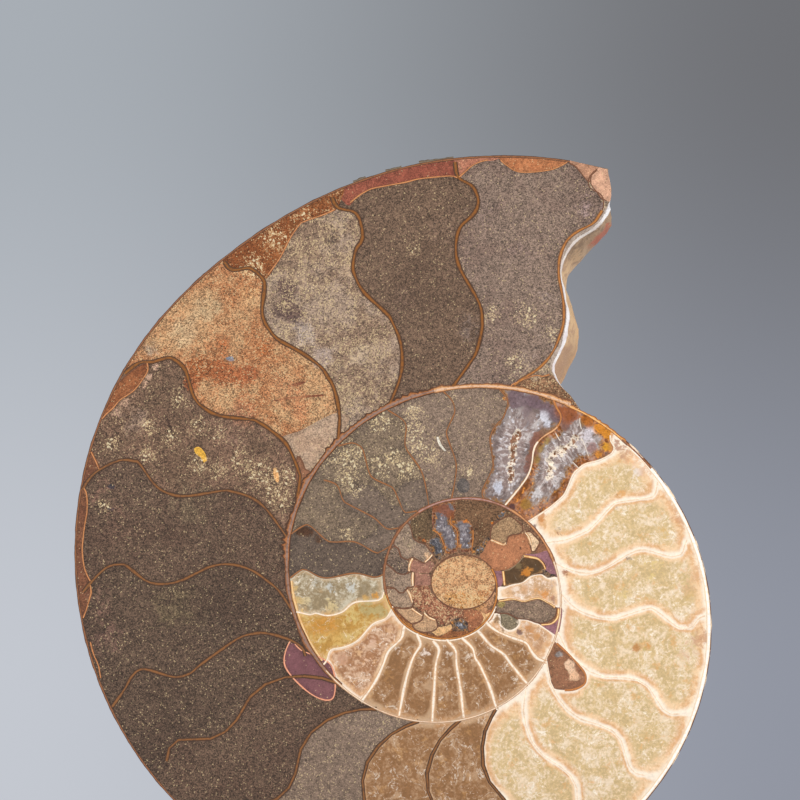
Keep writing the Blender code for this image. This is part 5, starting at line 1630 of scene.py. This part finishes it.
def outward(made):
    # turns the faces of a closed mesh outward
    mesh = bmesh.new()
    mesh.from_mesh(made.data)
    bmesh.ops.recalc_face_normals(mesh, faces=mesh.faces)
    mesh.to_mesh(made.data)
    mesh.free()


def shellBack():
    coords, marks, shellFaces, caps, broken, rimLine = halfBody()
    coords, marks = np.array(coords, float), np.array(marks, float)
    plane, depth = coords[:, :2], coords[:, 2]
    made = meshObject("shell_back", inWorld(plane, depth), [*shellFaces, *caps, *broken],
                      (shellMaterial(), breakMaterial()))
    slotOf = [0] * (len(shellFaces) + len(caps)) + [1] * len(broken)
    made.data.polygons.foreach_set("material_index", slotOf)
    outward(made)
    made.data.set_sharp_from_angle(angle=math.radians(45))
    lean = (marks[:, 1] + sway(marks[:, 0])) * 1.1
    paint(made, "lines", "POINT", np.stack([lean, np.hypot(*plane.T) * 0.08, 0 * lean], axis=1))
    past = distances(nearest([smoothLine(coil["breakEdge"], 0.5)]), plane)
    heights, middles, halves = zip(*back["whiteStrip"])
    middle, half = (np.interp(plane[:, 1], heights, values) for values in (middles, halves))
    deeper = np.maximum(depth - 4, 0) * 0.6    # the strip fades out past 4 mm
    paint(made, "white", "POINT", (past - middle) / half + deeper)
    paint(made, "brink", "POINT", distances(nearest([rimLine]), plane))
    paint(made, "high", "POINT", plane[:, 1])
    return made


settle(shellBack(), "ammonite_half")
print("back made")

# The stand: a walnut block, a felt lining in its slot and a felt pad under it
stand = {
    "corner": 7, "cornerSteps": 14,
    "topRound": 2.4, "topSteps": 7, "footRound": 0.6,
    "seat": 1.8,               # mm from the half to the wood
    "gap": 0.3,                # mm from the felt to either of them
    "slotBack": 12.2,          # mm behind the face, at the mouth of the slot
    "slotGrowth": (828, 990),
    "above": 8,                # mm that the cutter of the slot stands out
    "feltSteps": 6, "fuzz": 0.05,
    "padCorner": 5, "padSteps": 24, "padRound": 0.5,
}
woodLow, woodHigh = (Vector(corner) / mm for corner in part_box("stand_base"))
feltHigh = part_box("slot_felt")[1] / mm
padLow, padHigh = (Vector(corner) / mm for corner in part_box("base_pad"))


def roundedOutline(low, high, corner, steps, inset=0):
    # an upright block's outline, going round its four corners
    found = []
    for sx, sy, start in ((1, 1, 0), (-1, 1, 90), (-1, -1, 180), (1, -1, 270)):
        cx = (high.x - corner) if sx > 0 else (low.x + corner)
        cy = (high.y - corner) if sy > 0 else (low.y + corner)
        for k in range(steps + 1):
            angle = math.radians(start + 90 * k / steps)
            found.append((cx + (corner - inset) * math.cos(angle), cy + (corner - inset) * math.sin(angle)))
    return found


def easedBlock(name, low, high, corner, steps, levels, looks):
    # levels are (inset from the sides, height), from the bottom up
    rings = [[(x, y, z) for x, y in roundedOutline(low, high, corner, steps, inset)] for inset, z in levels]
    count = len(rings[0])
    points = [p for ring in rings for p in ring]
    faces = [tuple(range(count))[::-1], tuple(range(len(points) - count, len(points)))]
    for i in range(len(rings) - 1):
        for k in range(count):
            m = (k + 1) % count
            faces.append((i * count + k, i * count + m, (i + 1) * count + m, (i + 1) * count + k))
    made = meshObject(name, np.array(points) * mm, faces, looks)
    made.data.set_sharp_from_angle(angle=math.radians(50))
    return made


def seatCurve(clearance, top):
    # the underside of the half at this clearance, as (x, z) in world mm, up to this height
    first, last = stand["slotGrowth"]
    growth = np.arange(first, last, 1.0)
    line = polar(venter(growth) + clearance, growth) + (poleX, poleZ)
    return line[line[:, 1] < top]


def woodBlock():
    ease, foot = stand["topRound"], stand["footRound"]
    levels = [(foot, woodLow.z), (foot * 0.3, woodLow.z + foot * 0.3), (0, woodLow.z + foot)]
    for k in range(stand["topSteps"] + 1):
        angle = math.pi / 2 * k / stand["topSteps"]
        levels.append((ease * (1 - math.cos(angle)), woodHigh.z - ease + ease * math.sin(angle)))
    made = easedBlock("walnut_stand", woodLow, woodHigh, stand["corner"], stand["cornerSteps"], levels,
                      (walnutMaterial(),))
    seat, top = stand["seat"], woodHigh.z + stand["above"]
    line = seatCurve(seat, top)
    line = np.vstack([[(line[0, 0], top)], line, [(line[-1, 0], top)]])
    points = [(x, y, z) for y in (faceY - seat, faceY + stand["slotBack"] + seat) for x, z in line]
    count = len(line)
    faces = [tuple(range(count)), tuple(range(count, 2 * count))[::-1]]
    faces += [(k, k + count, (k + 1) % count + count, (k + 1) % count) for k in range(count)]
    cutter = meshObject("slot_cutter", np.array(points) * mm, faces, (), smooth=False)
    outward(cutter)
    modifier = made.modifiers.new("slot", "BOOLEAN")
    modifier.object = cutter
    modifier.solver = "EXACT"
    bpy.context.view_layer.update()
    whole = made.evaluated_get(bpy.context.evaluated_depsgraph_get())
    cutMesh = bpy.data.meshes.new_from_object(whole)
    made.modifiers.clear()
    made.data = cutMesh
    bpy.data.objects.remove(cutter)
    return made


def feltChannel():
    # a lining that follows the slot: down the front, across under the half, and up the back
    top, thick, near = feltHigh.z, stand["seat"] - 2 * stand["gap"], stand["gap"]
    line = seatCurve(near, top - thick * 0.9)
    rings = []
    for x, z in line[np.argsort(line[:, 0])]:
        ring = []
        for side, wall in ((-1, faceY - near), (1, faceY + stand["slotBack"] + near)):
            outer = [(wall + side * thick * 0.7, z - thick * 0.9), (wall + side * thick, z - thick * 0.4)]
            bend = [(wall + side * thick / 2 * (1 + math.cos(a)), top - thick / 2 + thick / 2 * math.sin(a))
                    for a in np.linspace(0, math.pi, stand["feltSteps"])]
            half = [(x, y, h) for y, h in [*outer, *bend, (wall, z + 0.3), (wall - side * 0.3, z)]]
            ring += half if side < 0 else half[::-1]
        rings.append(ring)
    points = np.array([p for ring in rings for p in ring])
    points += dice.uniform(-stand["fuzz"], stand["fuzz"], points.shape) * (0.4, 1, 1)
    around = len(rings[0])
    return meshObject("felt_lining", points * mm, tube(len(rings), around), (feltMaterial(),))


def feltPad():
    low, high, ease = padLow, padHigh, stand["padRound"]
    levels = [(ease, low.z), (0.1, low.z + 0.3), (0, low.z + 2 * ease), (0.1, high.z - 0.3), (ease, high.z)]
    corner, steps = stand["padCorner"], stand["padSteps"]
    return easedBlock("felt_pad", low, high, corner, steps, levels, (feltMaterial(),))


def walnutMaterial():
    made, place = material("oiled_walnut")
    along = place.mapped((0.06, 1, 1), (0.25, 0.02, 0.03))
    rings = along.noise(9, 3, 0.5, 0.8) * 9 + along.noise(14, 2, 0.5) * 3
    rings = rings.math("FRACT")
    late = rings.ease(0.35, 0.95) * rings.ease(1.0, 0.97)
    pores = place.mapped((0.12, 1, 1)).noise(0.5, 2, 0.7)
    fine = place.noise(0.5, 3, 0.7)
    broad = along.noise(26, 3, 0.5)
    colour = broad.ease(0.35, 0.65).blend(tone(104, 68, 44), tone(84, 52, 34))
    colour = (late * 0.6).blend(colour, tone(56, 34, 23))
    colour = (pores.ease(0.6, 0.7) * 0.6).blend(colour, tone(44, 27, 19))
    colour = (pores.ease(0.42, 0.3) * 0.3).blend(colour, tone(136, 94, 62))
    rough = 0.36 + pores.ease(0.6, 0.7) * 0.25 + (fine - 0.5) * 0.08
    return shade(made, colour, rough, pores.ease(0.6, 0.72) * -0.12 + fine * 0.02, 0.5)


def feltMaterial():
    made, place = material("green_felt")
    fuzz = place.noise(0.5, 5, 0.8, 1.5)
    clump = place.noise(3, 3, 0.6)
    colour = (fuzz * 0.7 + clump * 0.3).ease(0.35, 0.65).blend(tone(30, 42, 36), tone(62, 78, 66))
    return shade(made, colour, 0.95, fuzz, 0.5)


settle(woodBlock(), "stand_base")
settle(feltChannel(), "slot_felt")
settle(feltPad(), "base_pad")
print("stand made")

# Camera, light and ground
view = {"lens": 135, "sensor": 36, "wide": 200, "right": -13.75, "above": 47.5}
lamps = {    # place in metres, size and power
    "key_light": ((-0.7, -0.9, 0.9), 0.7, 13),
    "fill_light": ((0.9, -0.7, 0.4), 0.6, 6.5),
}
backdrop = {
    "wide": 0.14, "from": -0.1, "to": 0.12,    # shares of the view at which the fade starts and ends
    "lowLeft": (196, 200, 208), "lowRight": (146, 150, 162),
    "highLeft": (168, 174, 181), "highRight": (112, 113, 117),
    "light": 0.45,
}
ground = {    # the floor fades out before the camera's own view reaches it
    "reach": 0.3, "fadeFrom": 0.16, "fadeTo": 0.291, "below": 0.0002,
    "steps": 64, "rings": 12, "colour": (198, 201, 207),
}


def placed(name, data):
    made = bpy.data.objects.new(name, data)
    bpy.context.scene.collection.objects.link(made)
    return made


def makeCamera():
    camera = placed("camera", bpy.data.cameras.new("camera"))
    camera.data.lens = view["lens"]
    camera.data.sensor_width = view["sensor"]
    away = view["wide"] * view["lens"] / view["sensor"]
    camera.location = inWorld([(view["right"], view["above"])], -away)[0]
    camera.rotation_euler = (math.pi / 2, 0, 0)
    bpy.context.scene.camera = camera
    bpy.context.scene.view_settings.view_transform = "Standard"


def makeWorld():
    # a grey backdrop that is seen, with painted light and shade on it, lighter low on the left and darker
    # high on the right, and even light from all round
    world = bpy.data.worlds.new("studio")
    bpy.context.scene.world = world
    world.use_nodes = True
    w = Wire(world.node_tree)
    shader = world.node_tree.nodes["Background"]
    direction = w.add("ShaderNodeTexCoord", {}, {}, "Generated").parts()
    across = direction[0].ease(-backdrop["wide"], backdrop["wide"])
    low = across.blend(tone(*backdrop["lowLeft"]), tone(*backdrop["lowRight"]))
    high = across.blend(tone(*backdrop["highLeft"]), tone(*backdrop["highRight"]))
    shown = direction[2].ease(backdrop["from"], backdrop["to"]).blend(low, high)
    seen = [w.add("ShaderNodeLightPath", {}, {}, "Is " + kind + " Ray")
            for kind in ("Camera", "Glossy", "Transmission")]
    seen = seen[0].most(seen[1]).most(seen[2])
    colour = seen.blend((*[backdrop["light"]] * 3, 1), shown)
    w.tree.links.new(colour.socket, shader.inputs["Color"])
    shader.inputs["Strength"].default_value = 1


def softbox(name, place, size, power):
    lamp = bpy.data.lights.new(name, "AREA")
    lamp.shape = "RECTANGLE"
    lamp.size = lamp.size_y = size
    lamp.energy = power
    made = placed(name, lamp)
    made.location = place
    target = Vector((poleX, faceY, poleZ)) * mm
    made.rotation_euler = (target - made.location).to_track_quat("-Z", "Y").to_euler()


def floorDisc():
    made, place = material("pale_floor")
    shade(made, tone(*ground["colour"]), 0.7)
    far = place.add("ShaderNodeVectorMath", {"operation": "LENGTH"}, {0: place}, "Value") * mm
    fade = far.ease(ground["fadeFrom"], ground["fadeTo"], 1, 0)
    made.node_tree.links.new(fade.socket, made.node_tree.nodes["Principled BSDF"].inputs["Alpha"])
    rings, steps = ground["rings"], ground["steps"]
    angles = np.arange(steps) * 2 * np.pi / steps
    points = [(0, 0, 0)]
    for reach in ground["reach"] * np.arange(1, rings + 1) / rings:
        points += [(reach * x, reach * y, 0) for x, y in zip(np.cos(angles), np.sin(angles))]
    faces = []
    for k in range(steps):
        m = (k + 1) % steps
        faces.append((0, 1 + k, 1 + m))
        for a in range(1, 1 + (rings - 1) * steps, steps):
            faces.append((a + k, a + steps + k, a + steps + m, a + m))
    floor = meshObject("floor", points, faces, (made,))
    floor.location.z = -ground["below"]


makeCamera()
makeWorld()
for name, (place, size, power) in lamps.items():
    softbox(name, place, size, power)
floorDisc()
print("camera, light and ground made")
